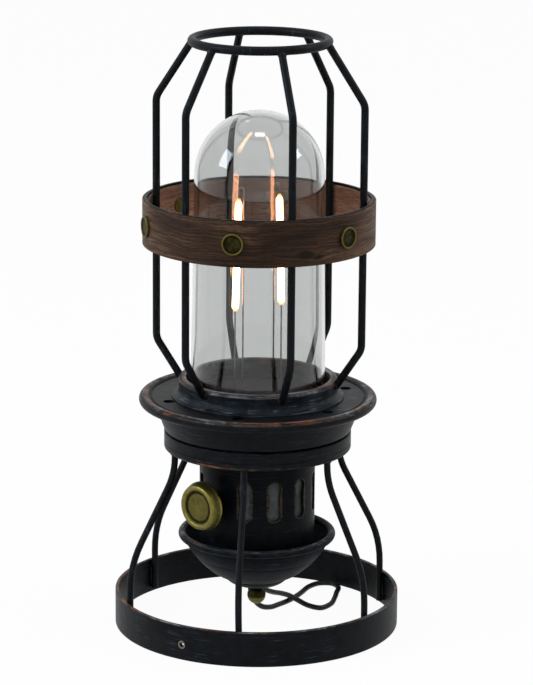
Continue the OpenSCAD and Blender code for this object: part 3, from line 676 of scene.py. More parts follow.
class Recipe:
    """A new material's node tree, with its shader and a vector in millimetres."""

    def __init__(self, name: str) -> None:
        """Starts the material.

        Args:
            name: Its name.
        """
        self.material = bpy.data.materials.new(name)
        self.material.use_nodes = True
        self.tree = self.material.node_tree
        self.shader = self.tree.nodes["Principled BSDF"]
        coords = self.add("TexCoord", out="Object")
        self.mm = self.add("Mapping", {"Vector": coords, "Scale": (PER_MM,) * 3})

    def add(
        self,
        kind: str,
        wires: dict[str | int, Any] | None = None,
        stops: Sequence[tuple[float, str]] = (),
        out: str | int = 0,
        **settings: Any,
    ) -> bpy.types.NodeSocket:
        """Adds a node to this material and gives one of its outputs."""
        return add(self.tree, kind, wires, stops, **settings).outputs[out]

    def grain(
        self, size: Spot | float, detail: float = 4, rough: float = 0.55, distort: float = 0.0
    ) -> bpy.types.NodeSocket:
        """A noise whose features have a real size.

        Args:
            size: The features' size in millimetres, or their sizes along X, Y and Z.
            detail: How many finer layers it has.
            rough: How strong those are.
            distort: How much it is drawn out of shape.

        Returns:
            The output that runs from 0 to 1.
        """
        sizes = size if isinstance(size, tuple) else (size,) * 3
        scaled = self.add("Mapping", {"Vector": self.mm, "Scale": tuple(1 / s for s in sizes)})
        wires = {"Vector": scaled, "Scale": 1.0, "Detail": detail}
        wires |= {"Roughness": rough, "Distortion": distort}
        return self.add("TexNoise", wires, out="Fac")

    def surface(self, **inputs: Any) -> bpy.types.Material:
        """Fills the shader's sockets.

        Args:
            **inputs: What goes into each socket, whose name has _ for a space.

        Returns:
            The material.
        """
        for key, value in inputs.items():
            socket = self.shader.inputs[key.replace("_", " ")]
            if isinstance(value, bpy.types.NodeSocket):
                self.tree.links.new(value, socket)
            else:
                socket.default_value = value
        return self.material


@dataclass(frozen=True)
class BlackenedIron:
    """Wrought iron, blackened, brushed with blue-grey and rubbed back to metal on its edges.

    The black is a dull lacquer, so it mirrors little head on and pale along its outlines. The
    brush leaves streaks along the turning. Only the rubbed edges shine, copper brown or silvery;
    where the rub is laid along a rim, it is partly a painted highlight.
    """

    name: str
    black: str = "#08090c"
    slate: str = "#13171b"
    scuff: str = "#46525d"
    copper: str = "#8a5f45"
    brown: str = "#4e4134"
    silver_rub_and_highlight: str = "#939495"
    scuffs: float = 0.55
    streak: Spot = (18.0, 18.0, 1.1)
    patch: float = 17.0
    rub: Spot = (12.0, 12.0, 1.5)
    rough: float = 0.42
    shine: float = 0.08

    def build(self) -> bpy.types.Material:
        """Builds the material.

        Returns:
            The material.
        """
        r = Recipe(self.name)
        mottle = r.grain(9.0, 6, 0.62)
        base = r.add("ValToRGB", {"Fac": mottle}, [(0.35, self.black), (0.68, self.slate)])
        ends = {"Value": r.grain(self.streak, 5, 0.6, 0.3), "From Min": 0.5, "From Max": 0.74}
        marks = r.add("MapRange", {**ends, "To Max": self.scuffs}, interpolation_type=SMOOTH)
        ends = {"Value": r.grain(self.patch, 3, 0.5), "From Min": 0.42, "From Max": 0.64}
        where = r.add("MapRange", ends, interpolation_type=SMOOTH)
        dust = r.add("Math", {0: marks, 1: where}, operation="MULTIPLY")
        wires = {0: dust, MIX_A: base, MIX_B: colour(self.scuff)}
        dusted = r.add("Mix", wires, out=MIX_OUT, data_type="RGBA")
        worn = r.add("Attribute", out="Fac", attribute_name=WEAR)
        broken = r.add("Math", {0: r.grain(self.rub, 5, 0.65), 1: 1.8, 2: -0.9}, operation="MULTIPLY_ADD")
        total = r.add("Math", {0: worn, 1: broken}, operation="ADD")
        ends = {"Value": total, "From Min": 0.3, "From Max": 0.85}
        rubbed = r.add("MapRange", ends, interpolation_type=SMOOTH)
        kept = r.add("Math", {0: rubbed, 1: worn}, operation="MULTIPLY", use_clamp=True)
        # The rubbed metal, its silver most of all, also stands for painted highlight lines along the rims
        # where wear is laid.
        shades = [(0.4, self.copper), (0.5, self.brown), (0.6, self.silver_rub_and_highlight)]
        metal = r.add("ValToRGB", {"Fac": r.grain(26.0, 4, 0.65)}, shades)
        shown = r.add("Mix", {0: kept, MIX_A: dusted, MIX_B: metal}, out=MIX_OUT, data_type="RGBA")
        ends = {"Value": mottle, "To Min": self.rough - 0.08, "To Max": self.rough + 0.1}
        gloss = r.add("MapRange", ends)
        fine = r.add("Bump", {"Height": r.grain(0.9, 3), "Strength": 0.35, "Distance": 0.12 * MM})
        bumps = {"Height": r.grain(5.0, 4), "Strength": 0.4, "Distance": 0.5 * MM, "Normal": fine}
        return r.surface(
            Base_Color=shown,
            Roughness=gloss,
            Metallic=kept,
            Normal=r.add("Bump", bumps),
            Specular_IOR_Level=self.shine,
        )


@dataclass(frozen=True)
class AntiqueBrass:
    """Solid brass, aged to olive, dark where it is never touched and bright where hands rub it."""

    name: str
    dark: str = "#1b190d"
    olive: str = "#454021"
    gold: str = "#665f2d"
    bright: str = "#8f874d"
    rough: float = 0.42
    lathe_axis: str = ""
    lathe_centre: Spot = (0.0, 0.0, 0.0)
    line_gap: float = 0.75

    def build(self) -> bpy.types.Material:
        """Builds the material, with lines from the lathe where it has an axis.

        Returns:
            The material.
        """
        r = Recipe(self.name)
        worn = r.add("Attribute", out="Fac", attribute_name=WEAR)
        patina = r.grain(3.2, 6, 0.65)
        spread = r.add("Math", {0: patina, 1: 0.6, 2: -0.3}, operation="MULTIPLY_ADD")
        level = r.add("Math", {0: worn, 1: spread}, operation="ADD", use_clamp=True)
        stops = [(0.0, self.dark), (0.3, self.olive), (0.62, self.gold), (1.0, self.bright)]
        shown = r.add("ValToRGB", {"Fac": level}, stops)
        gloss = r.add("MapRange", {"Value": level, "To Min": self.rough + 0.2, "To Max": self.rough - 0.06})
        relief = r.add("Bump", {"Height": r.grain(0.5, 3), "Strength": 0.25, "Distance": 0.05 * MM})
        if self.lathe_axis:
            place = tuple(-c for c in self.lathe_centre)
            centred = r.add("Mapping", {"Vector": r.mm, "Location": place})
            scale = 1 / (self.line_gap * math.pi)
            rings = {"Vector": centred, "Scale": scale, "Distortion": 0.5, "Detail": 2.0}
            lines = r.add("TexWave", rings, out="Fac", wave_type="RINGS", rings_direction=self.lathe_axis)
            cuts = {"Height": lines, "Strength": 0.35, "Distance": 0.06 * MM, "Normal": relief}
            relief = r.add("Bump", cuts)
        return r.surface(Base_Color=shown, Roughness=gloss, Metallic=1.0, Normal=relief)


@dataclass(frozen=True)
class Knot:
    """A knot in the wood, at a turn of the lamp and a height, with its half width and half height."""

    turn: float
    height: float
    wide: float
    tall: float


@dataclass(frozen=True)
class BentWood:
    """A strip of walnut bent round the hoop: oiled, matt, with long grain, pores and knots.

    The grain runs round the hoop, so the pattern is unrolled from it. Its seam lies on the
    strip's own butt joint. The strip is darkest at the turn of its shade, and paler away from it:
    this is painted shade, not a tone of the wood.
    """

    name: str
    radius: float
    middle: float
    seam: float
    dark: str
    brown: str
    warm: str
    light: str
    knots: tuple[Knot, ...] = ()
    # The turn where the painted shade on the strip is darkest.
    shade: float = 30.0
    wave: float = 3.2
    rough: float = 0.6

    def bearing(self, turn: float) -> float:
        """A turn of the lamp as radians along the strip, from the place across from its seam."""
        return math.radians((turn - self.seam) % 360 - 180)

    def knotted(self, r: Recipe, along: Any, cross: Any) -> tuple[Any, Any]:
        """Leads the grain round the knots.

        Args:
            r: The material.
            along: The place along the strip, in millimetres.
            cross: The place across the grain.

        Returns:
            The place across the grain that flows round the knots, and how far a point is in one.
        """
        hearts: Any = 0.0
        for knot in self.knots:
            place = self.radius * self.bearing(knot.turn)
            rise = knot.height - self.middle
            beside = r.add("Math", {0: along, 1: -place}, operation="ADD")
            beside = r.add("Math", {0: beside, 1: 1 / knot.wide}, operation="MULTIPLY")
            over = r.add("Math", {0: cross, 1: -rise}, operation="ADD")
            wide = r.add("Math", {0: beside, 1: beside}, operation="MULTIPLY")
            tall = r.add("Math", {0: over, 1: 1 / knot.tall}, operation="MULTIPLY")
            away = r.add("Math", {0: tall, 1: tall, 2: wide}, operation="MULTIPLY_ADD")
            far = r.add("Math", {0: away, 1: 1.0}, operation="MAXIMUM")
            pinch = r.add("Math", {0: -1.0, 1: far}, operation="DIVIDE")
            flow = r.add("Math", {0: pinch, 1: 1.0}, operation="ADD")
            cross = r.add("Math", {0: over, 1: flow, 2: rise}, operation="MULTIPLY_ADD")
            ends = {"Value": away, "From Min": 0.2, "From Max": 4.0, "To Min": 0.85, "To Max": 0.0}
            heart = r.add("MapRange", ends, interpolation_type=SMOOTH)
            hearts = r.add("Math", {0: hearts, 1: heart}, operation="MAXIMUM")
        return cross, hearts

    def build(self) -> bpy.types.Material:
        """Builds the material.

        Returns:
            The material.
        """
        r = Recipe(self.name)
        turned = r.add("Mapping", {"Vector": r.mm, "Rotation": (0, 0, math.radians(180 - self.seam))})
        parts = r.add("SeparateXYZ", {0: turned}).node.outputs
        back = r.add("Math", {0: parts["Y"], 1: -1.0}, operation="MULTIPLY")
        angle = r.add("Math", {0: parts["X"], 1: back}, operation="ARCTAN2")
        along = r.add("Math", {0: angle, 1: self.radius}, operation="MULTIPLY")
        across = r.add("Math", {0: parts["Z"], 1: -self.middle}, operation="ADD")

        def layer(long: float, short: float, cross: Any, detail: float, rough: float = 0.55) -> Any:
            """A noise stretched along the grain.

            Args:
                long: Its features' length along the grain, in millimetres.
                short: Their width.
                cross: The place across the grain.
                detail: How many finer layers it has.
                rough: How strong those are.

            Returns:
                The output that runs from 0 to 1.
            """
            u = r.add("Math", {0: along, 1: 1 / long}, operation="MULTIPLY")
            v = r.add("Math", {0: cross, 1: 1 / short}, operation="MULTIPLY")
            vector = r.add("CombineXYZ", {0: u, 1: v})
            wires = {"Vector": vector, "Scale": 1.0, "Detail": detail, "Roughness": rough}
            return r.add("TexNoise", wires, out="Fac", noise_dimensions="2D")

        drift = layer(34, 20, across, 3)
        bent = r.add("Math", {0: drift, 1: self.wave * 2, 2: -self.wave}, operation="MULTIPLY_ADD")
        cross = r.add("Math", {0: across, 1: bent}, operation="ADD")
        cross, hearts = self.knotted(r, along, cross)
        patch = layer(70, 30, across, 2)
        broad = layer(90, 4.5, cross, 3)
        figure = layer(38, 1.1, cross, 5, 0.68)
        tone = r.add("Math", {0: figure, 1: 0.5}, operation="MULTIPLY")
        tone = r.add("Math", {0: broad, 1: 0.3, 2: tone}, operation="MULTIPLY_ADD")
        tone = r.add("Math", {0: patch, 1: 0.2, 2: tone}, operation="MULTIPLY_ADD")
        # Painted shade: the tone is darkest at the turn of the shade and pales by up to 0.12 away from it.
        off = r.add("Math", {0: angle, 1: -self.bearing(self.shade)}, operation="ADD")
        off = r.add("Math", {0: off}, operation="ABSOLUTE")
        painted_shade_lift = r.add("MapRange", {"Value": off, "From Min": 0.25, "From Max": 1.4, "To Max": 0.12})
        tone = r.add("Math", {0: tone, 1: painted_shade_lift}, operation="ADD")
        stops = [(0.34, self.dark), (0.45, self.brown), (0.56, self.warm), (0.68, self.light)]
        wood = r.add("ValToRGB", {"Fac": tone}, stops)
        ends = {"Value": layer(6.5, 0.34, cross, 2), "From Min": 0.56, "From Max": 0.7, "To Max": 0.85}
        pores = r.add("MapRange", ends)
        marks = r.add("Math", {0: pores, 1: hearts}, operation="MAXIMUM")
        wires = {0: marks, MIX_A: wood, MIX_B: colour(self.dark)}
        shown = r.add("Mix", wires, out=MIX_OUT, data_type="RGBA")
        gloss = r.add("MapRange", {"Value": tone, "To Min": self.rough + 0.1, "To Max": self.rough - 0.1})
        height = r.add("Math", {0: figure, 1: pores}, operation="SUBTRACT")
        relief = r.add("Bump", {"Height": height, "Strength": 0.6, "Distance": 0.22 * MM})
        return r.surface(Base_Color=shown, Roughness=gloss, Normal=relief, Specular_IOR_Level=0.12)


@dataclass(frozen=True)
class ClearGlass:
    """Blown glass, faintly grey in its thickness, with hardly a smudge.

    It mirrors a little less than plate glass does, so that the dome's outline stays grey.
    """

    name: str
    tint: str = "#d9dbda"
    index: float = 1.43

    def build(self) -> bpy.types.Material:
        """Builds the material.

        Returns:
            The material.
        """
        r = Recipe(self.name)
        smudge = r.add("MapRange", {"Value": r.grain(22.0, 3), "From Min": 0.45, "To Max": 0.03})
        waves = r.add("Bump", {"Height": r.grain(38.0, 1), "Strength": 0.12, "Distance": 0.6 * MM})
        return r.surface(
            Base_Color=colour(self.tint),
            Roughness=smudge,
            IOR=self.index,
            Transmission_Weight=1.0,
            Normal=waves,
        )


@dataclass(frozen=True)
class LitFilament:
    """A glowing filament: too bright to have a colour of its own, but orange towards its ends.

    Its glow is orange, so that the faint pictures of it in the glass are orange too.
    """

    name: str
    middle: float
    half: float
    strength: float = 22.0

    def build(self) -> bpy.types.Material:
        """Builds the material.

        Returns:
            The material.
        """
        r = Recipe(self.name)
        height = r.add("SeparateXYZ", {0: r.mm}, out="Z")
        off = r.add("Math", {0: height, 1: -self.middle}, operation="ADD")
        away = r.add("Math", {0: off}, operation="ABSOLUTE")
        share = r.add("Math", {0: away, 1: 1 / self.half}, operation="MULTIPLY")
        stops = [(0.0, "#ffb488"), (0.88, "#ffb082"), (0.95, "#a0643a"), (1.0, "#48290f")]
        glow = r.add("ValToRGB", {"Fac": share}, stops)
        skin = r.add("Bump", {"Height": r.grain(1.2, 2), "Strength": 0.3, "Distance": 0.1 * MM})
        return r.surface(
            Base_Color=glow,
            Roughness=0.5,
            Normal=skin,
            Emission_Color=glow,
            Emission_Strength=self.strength,
        )


@dataclass(frozen=True)
class Moulded:
    """A moulded or extruded plastic or rubber, with a fine grain and uneven gloss."""

    name: str
    dark: str
    pale: str
    rough: float
    grit: float = 0.6
    depth: float = 0.05

    def build(self) -> bpy.types.Material:
        """Builds the material.

        Returns:
            The material.
        """
        r = Recipe(self.name)
        cloud = r.grain(7.0, 4)
        shown = r.add("ValToRGB", {"Fac": cloud}, [(0.35, self.dark), (0.7, self.pale)])
        gloss = r.add("MapRange", {"Value": cloud, "To Min": self.rough - 0.1, "To Max": self.rough + 0.1})
        pits = {"Height": r.grain(self.grit, 2), "Strength": 0.4, "Distance": self.depth * MM}
        return r.surface(
            Base_Color=shown, Roughness=gloss, Normal=r.add("Bump", pits), Specular_IOR_Level=0.25
        )


@dataclass(frozen=True)
class PlainMetal:
    """A bare or plated metal, drawn or rolled, so that its fine lines run one way."""

    name: str
    dark: str
    pale: str
    rough: float
    drawn: Spot = (0.5, 0.5, 9.0)

    def build(self) -> bpy.types.Material:
        """Builds the material.

        Returns:
            The material.
        """
        r = Recipe(self.name)
        lines = r.grain(self.drawn, 3)
        shown = r.add("ValToRGB", {"Fac": r.grain(5.0, 5)}, [(0.3, self.dark), (0.7, self.pale)])
        ends = {"Value": lines, "To Min": self.rough - 0.08, "To Max": self.rough + 0.12}
        gloss = r.add("MapRange", ends)
        cuts = {"Height": lines, "Strength": 0.3, "Distance": 0.04 * MM}
        return r.surface(Base_Color=shown, Roughness=gloss, Metallic=1.0, Normal=r.add("Bump", cuts))


# ---- Placing pieces ----


def keep(
    piece: Piece, finish: bpy.types.Material, slot: Slot, *nodes: str, body: Body = Body.LAMP
) -> Piece:
    """Dresses a finished piece and puts it on its body.

    Args:
        piece: The piece, its place in its mesh.
        finish: Its material.
        slot: The record's slot it stands for; not used.
        *nodes: The CAD nodes it stands for.
        body: The body it moves with.

    Returns:
        The same piece.
    """
    piece.data.materials.clear()
    piece.data.materials.append(finish)
    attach(piece, body.value)
    if nodes:
        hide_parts(*nodes)
    LOG.info("%s is %s and stands for %s", piece.name, finish.name, ", ".join(nodes) or "nothing else")
    return piece


def dress(finish: bpy.types.Material, *nodes: str) -> None:
    """Gives CAD nodes that stay a finish.

    Args:
        finish: The material.
        *nodes: The nodes' names.
    """
    for node in nodes:
        for held in frame["nodes"][node].material_slots:
            held.material = finish
        LOG.info("%s stays, in %s", node, finish.name)


@dataclass
class Palette:
    """The finishes that several sub-assemblies share."""

    iron: bpy.types.Material = field(default_factory=BlackenedIron("blackened_iron").build)
    rods: bpy.types.Material = field(
        default_factory=BlackenedIron(
            "blackened_rod", "#080a0c", "#13171b", scuffs=0.4, streak=(2.0, 2.0, 12.0), rub=(2.5, 2.5, 11.0)
        ).build
    )
    brass: bpy.types.Material = field(default_factory=AntiqueBrass("aged_brass").build)
    zinc: bpy.types.Material = field(
        default_factory=PlainMetal("zinc_plate", "#8f9496", "#b9bdbe", 0.34).build
    )
    rubber: bpy.types.Material = field(
        default_factory=Moulded("black_rubber", "#0d0e0f", "#17191b", 0.55).build
    )


# ---- Camera and light ----


@dataclass(frozen=True)
class SoftBox:
    """A soft lamp that looks at the glass.

    Its turn from the camera and its rise over the glass are in degrees, its distance and its
    width and height in metres, and its power in watts.
    """

    name: str
    turn: float
    rise: float
    away: float
    size: Point
    watts: float
    tone: str = "#ffffff"


@dataclass
class Studio:
    """The camera at the photograph's place, a pale floor and soft lamps."""

    focal_px: float = 3113.3
    picture_h: int = 685
    distance: float = 1995.8
    height: float = 694.5
    azimuth: float = 42.5
    pitch: float = 14.11
    yaw: float = 0.157
    roll: float = 0.447
    sensor: float = 36.0
    ambient: float = 0.62
    floor_size: float = 24.0
    floor_seen: str = "#ececea"
    floor_bounce: str = "#8c8c8a"
    whiteness: float = 0.95
    glass_top: float = 0.31
    lamps: tuple[SoftBox, ...] = (
        SoftBox("window", turn=-70, rise=27, away=1.9, size=(0.75, 0.85), watts=18, tone="#eaf1ff"),
        SoftBox("far_window", turn=88, rise=33, away=2.1, size=(0.4, 0.6), watts=9, tone="#eaf1ff"),
        SoftBox("skylight", turn=0, rise=87, away=1.7, size=(0.4, 0.22), watts=4),
    )

    def camera(self) -> None:
        """Sets the camera."""
        data = bpy.data.cameras.new("view")
        data.sensor_width = self.sensor
        data.lens = self.focal_px * self.sensor / self.picture_h
        data.clip_end = 100
        holder = bpy.data.objects.new("view", data)
        bpy.context.scene.collection.objects.link(holder)
        turn = math.radians(self.azimuth)
        away = self.distance * MM
        holder.matrix_world = (
            Matrix.Translation((away * math.sin(turn), -away * math.cos(turn), self.height * MM))
            @ Matrix.Rotation(math.radians(self.azimuth - self.yaw), 4, "Z")
            @ Matrix.Rotation(math.radians(90 - self.pitch), 4, "X")
            @ Matrix.Rotation(math.radians(self.roll), 4, "Z")
        )
        bpy.context.scene.camera = holder
        bpy.context.scene.view_settings.view_transform = "Standard"

    def lamp(self, box: SoftBox) -> None:
        """Hangs a soft lamp.

        Args:
            box: The lamp.
        """
        data = bpy.data.lights.new(box.name, "AREA")
        data.shape = "RECTANGLE"
        data.size, data.size_y = box.size
        data.energy = box.watts
        data.color = colour(box.tone)[:3]
        holder = bpy.data.objects.new(box.name, data)
        bpy.context.scene.collection.objects.link(holder)
        turn, rise = math.radians(self.azimuth + box.turn), math.radians(box.rise)
        way = Vector((math.sin(turn) * math.cos(rise), -math.cos(turn) * math.cos(rise), math.sin(rise)))
        holder.location = Vector((0, 0, self.glass_top)) + way * box.away
        holder.rotation_mode = "QUATERNION"
        holder.rotation_quaternion = (-way).to_track_quat("-Z", "Y")

    def shown_white(self, tree: bpy.types.NodeTree) -> Any:
        """Tells what is looked at from what only lights.

        Args:
            tree: The node tree to add to.

        Returns:
            An output that is 1 for what the camera, a mirror or glass sees, and else 0.
        """
        rays = add(tree, "LightPath").outputs
        wires = {0: rays["Is Camera Ray"], 1: rays["Is Glossy Ray"]}
        either = add(tree, "Math", wires, operation="MAXIMUM").outputs[0]
        wires = {0: either, 1: rays["Is Transmission Ray"]}
        return add(tree, "Math", wires, operation="MAXIMUM").outputs[0]

    def world(self) -> None:
        """Makes the surroundings white to look at, and softer as light."""
        world = bpy.data.worlds.new("studio")
        world.use_nodes = True
        bpy.context.scene.world = world
        tree = world.node_tree
        seen = self.shown_white(tree)
        level = add(tree, "MapRange", {"Value": seen, "To Min": self.ambient, "To Max": 1.0}).outputs[0]
        ground = tree.nodes["Background"]
        ground.inputs["Color"].default_value = (1, 1, 1, 1)
        tree.links.new(level, ground.inputs["Strength"])

    def floor(self) -> None:
        """Lays the floor, lifted towards white where it is seen, and greyer as it lights the lamp."""
        bpy.ops.mesh.primitive_plane_add(size=self.floor_size)
        floor = named("studio_floor")
        r = Recipe("pale_floor")
        seen = self.shown_white(r.tree)
        wires = {0: seen, MIX_A: colour(self.floor_bounce), MIX_B: colour(self.floor_seen)}
        paint = r.add("Mix", wires, out=MIX_OUT, data_type="RGBA")
        r.surface(Base_Color=paint, Roughness=0.9, Specular_IOR_Level=0.1)
        white = r.add("Emission", {"Color": (1, 1, 1, 1), "Strength": 1.0})
        share = r.add("Math", {0: seen, 1: self.whiteness}, operation="MULTIPLY")
        mixed = r.add("MixShader", {0: share, 1: r.shader.outputs[0], 2: white})
        r.tree.links.new(mixed, r.tree.nodes["Material Output"].inputs["Surface"])
        floor.data.materials.append(r.material)

    def build(self) -> None:
        """Sets up the camera, the floor and the light."""
        self.camera()
        self.world()
        self.floor()
        for box in self.lamps:
            self.lamp(box)


# ---- The mains cord ----


@dataclass
class MainsCord:
    """The flexible cord: a loose loop under the bowl, out through the ring, and a coil behind."""

    palette: Palette
    diameter: float = 3.6
    exit_turn: float = EXIT_TURN
    exit_z: float = EXIT_Z
    ring_r: float = 95.0
    ring_wall: float = RING_WALL
    coil_away: float = 61.0
    relief_in: float = 90.865
    relief_tip: float = 115.0
    layer_turns: float = 2.875
    layers: int = 4
    pitch: float = 4.1
    middle_r: float = 20.1
    coil_low: float = 2.9
    coil_steps: int = 24
    plug_start: float = 130.4
    plug_z: float = 6.95

    def inner_points(self) -> list[Spot]:
        """Lays the loose loop.

        Returns:
            Its points, in the frame that has the ring's hole on its +Y side.
        """
        lie = self.diameter / 2 + 0.2
        hump = lie + self.diameter + 0.3
        return [
            (-3, 8.5, 24.7), (-3, 8.5, 21.1), (-3, 8.5, 19), (-0.5, 10, 11), (5, 13.5, 4.5), (12, 18, lie),
            (18.5, 23, lie), (26, 30, lie), (33, 39, lie), (38.5, 48, lie), (44, 57.5, lie), (52, 64.5, lie),
            (61, 63.5, lie), (64.5, 54.5, lie), (61.5, 43, lie), (58.5, 32, lie), (54, 20, lie),
            (46, 12.5, lie), (37.5, 16, lie + 1), (31, 23, hump - 1), (26, 30, hump), (21.5, 38, hump - 1),
            (17.5, 46.5, lie + 1), (13.5, 55, lie), (8, 65.5, lie), (3, 75.5, lie + 2), (0, 83, self.exit_z),
            (0, self.relief_in - self.diameter - 0.1, self.exit_z), (0, self.relief_in - 0.1, self.exit_z),
        ]

    @property
    def outer_r(self) -> float:
        """The coil's outer radius, to the middle of its cord."""
        return self.middle_r + self.layer_turns * self.pitch / 2

    @property
    def centre(self) -> Point:
        """The coil's middle."""
        return self.outer_r, self.ring_r + self.coil_away

    def coil_spot(self, turns: float) -> Spot:
        """A point of the coil.

        Args:
            turns: How many turns from its start.

        Returns:
            The point, in the frame of the ring's hole.
        """
        layer = min(int(turns / self.layer_turns), self.layers - 1)
        part = turns - layer * self.layer_turns
        inwards = part if layer % 2 == 0 else self.layer_turns - part
        radius = self.outer_r - inwards * self.pitch
        angle = math.radians(180 - 360 * turns)
        starts = [k * self.layer_turns for k in range(1, self.layers)]
        climbs = [min(1, max(0, (turns - start + 0.25) / 0.5)) for start in starts]
        height = self.coil_low + self.pitch * sum(climbs)
        x, y = self.centre
        return x + radius * math.cos(angle), y + radius * math.sin(angle), height

    def outer_points(self) -> list[Spot]:
        """Lays the lead, the coil and the tail, as one run from the strain relief to the plug.

        Returns:
            The run's points, in the frame of the ring's hole.
        """
        z, tip, low = self.exit_z, self.relief_tip, self.coil_low
        count = round(self.coil_steps * self.layer_turns * self.layers)
        coil = [self.coil_spot(i / self.coil_steps) for i in range(count + 1)]
        start_y = coil[0][1] - self.diameter
        x, y, high = coil[-1]
        drop = high - self.plug_z
        end_y = y - self.diameter
        lead = [
            (0, tip, z), (0, tip + 5, z), (0, tip + 15, z - 2.5), (0, tip + 26, low + 0.7),
            (0, start_y - 4, low), (0, start_y, low),
        ]
        tail = [
            (x, end_y, high), (x, end_y - 4, high), (x, end_y - 9, high - 0.3 * drop),
            (x, end_y - 14, high - 0.75 * drop), (x, self.plug_start + 4, self.plug_z),
            (x, self.plug_start, self.plug_z),
        ]
        return [*lead, *coil, *tail]

    def sheath(self, name: str, points: Sequence[Spot], steps: int) -> Piece:
        """Draws the cord along a run of points.

        Args:
            name: The piece's name.
            points: The run, in the frame of the ring's hole.
            steps: Steps from each point to the next.

        Returns:
            A curve of one spline, in the lamp's frame.
        """
        turned = Matrix.Rotation(math.radians(self.exit_turn - 180), 4, "Z")
        run = [turned @ (Vector(point) * MM) for point in points]
        data = bpy.data.curves.new(name, "CURVE")
        data.dimensions = "3D"
        data.bevel_depth = self.diameter / 2 * MM
        data.bevel_resolution = 4
        data.resolution_u = steps
        data.use_fill_caps = True
        spline = data.splines.new("BEZIER")
        spline.bezier_points.add(len(run) - 1)
        for i, (knot, spot) in enumerate(zip(spline.bezier_points, run)):
            lean = (run[min(i + 1, len(run) - 1)] - run[max(i - 1, 0)]) / 6
            knot.handle_left_type = knot.handle_right_type = "FREE"
            knot.co = spot
            knot.handle_left = spot - lean
            knot.handle_right = spot + lean
        cord = bpy.data.objects.new(name, data)
        bpy.context.scene.collection.objects.link(cord)
        return cord

    def length(self, cord: Piece) -> float:
        """A cord's length in metres, along its spline."""
        return cord.data.splines[0].calc_length()

    def relief(self) -> Piece:
        """The tapered strain relief, with its flange, its collar and rings that let it bend.

        Returns:
            The strain relief.
        """
        neck, collar, tip = 3.8, 5.0, self.diameter / 2 + 0.5
        seat = math.sqrt((self.ring_r - self.ring_wall) ** 2 - collar**2) - 0.1
        outline = Outline().to(0, self.relief_in).to(collar, self.relief_in).to(collar, seat).to(neck, seat)
        outline.to(neck, self.ring_r + 0.1).to(collar - 0.3, self.ring_r + 0.1)
        outline.arc((collar - 0.5, self.ring_r + 1.4), 0.5, 0, 80, 0.2, 4)
        rings = 6
        start, end = self.ring_r + 3.0, self.relief_tip - 1.0
        for i in range(rings):
            low = start + (end - start) * i / rings
            gap = (end - start) / rings
            radius = neck + (tip - neck) * i / rings
            outline.to(radius, low).to(radius - 0.15, low + gap * 0.6, 0.1)
            outline.to(radius - 0.7, low + gap * 0.66).to(radius - 0.7, low + gap * 0.92)
        outline.to(tip, end + 0.4).to(tip - 0.2, self.relief_tip).to(0, self.relief_tip)
        where = outward(self.exit_turn, self.exit_z)
        relief = put(smoothed(spun("cord_strain_relief", outline, 48)), where)
        return keep(relief, self.palette.rubber, Slot.RUBBER, "strain_relief")

    def bush(self) -> Piece:
        """The rubber bush in the bowl's foot, where the cord comes out.

        Returns:
            The bush.
        """
        low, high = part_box("cord_bush")
        middle = (low + high) / 2
        flange = (high.x - low.x) / 2 * PER_MM
        neck = flange - 1.0
        bottom, top = low.z * PER_MM, high.z * PER_MM
        outline = (
            Outline().to(0, bottom).to(flange - 0.7, bottom)
            .arc((flange - 0.4, bottom + 0.4), 0.4, -90, 0, 0.2, 3)
            .to(flange, bottom + 1.1).to(neck, bottom + 1.15)
            .to(neck, top - 0.3).to(neck - 0.3, top).to(0, top)
        )
        place = Matrix.Translation((middle.x, middle.y, 0))
        bush = put(smoothed(spun("bowl_cord_bush", outline, 40)), place)
        return keep(bush, self.palette.rubber, Slot.RUBBER, "cord_bush")

    def plug(self, finish: bpy.types.Material) -> Piece:
        """The moulded plug: a rounded grip with finger ribs and a ringed neck.

        Args:
            finish: The plug's material.

        Returns:
            The plug's body.
        """
        wide, tall, long, neck = 21.0, 13.5, 26.0, 8.0
        blocks = []
        parts = ("grip", 0, neck + 1, long, 3.0), ("shoulder", 3, neck, neck + 3, 1.0)
        for name, slim, low, high, bevel in parts:
            bpy.ops.mesh.primitive_cube_add(size=MM)
            where = Matrix.Translation((0, 0, (low + high) / 2 * MM))
            block = put(named(name), where @ Matrix.Diagonal((wide - slim, tall - slim, high - low, 1)))
            blocks.append(finished(block, "BEVEL", width=bevel * MM, segments=6, limit_method="ANGLE"))
        ribs = []
        for side in (-1, 1):
            for i in range(4):
                bpy.ops.mesh.primitive_cylinder_add(vertices=16, radius=0.8 * MM, depth=6 * MM)
                place = Vector((side * (wide / 2 - 0.15), 0, neck + 5 + 3 * i)) * MM
                rib = put(named("rib"), Matrix.Translation(place) @ LAID)
                ribs.append(finished(rib, "BEVEL", width=0.5 * MM, segments=2, limit_method="ANGLE"))
        outline = Outline().to(0, 0)
        for i in range(4):
            radius = 3.2 + 0.5 * i
            outline.to(radius, 2.0 * i).to(radius, 2.0 * i + 1.2)
            outline.to(radius - 0.8, 2.0 * i + 1.3).to(radius - 0.8, 2.0 * i + 1.9)
        outline.to(5.2, neck).to(5.2, neck + 2).to(0, neck + 2)
        body = joined("mains_plug", [*blocks, spun("neck", outline, 40), *ribs])
        turned = Matrix.Rotation(math.radians(self.exit_turn - 180), 4, "Z")
        x = self.coil_spot(self.layer_turns * self.layers)[0]
        start = Matrix.Translation(Vector((x, self.plug_start, self.plug_z)) * MM)
        put(body, turned @ start @ LAID)
        return keep(smoothed(body), finish, Slot.DARK_MOULDING, "plug_body")

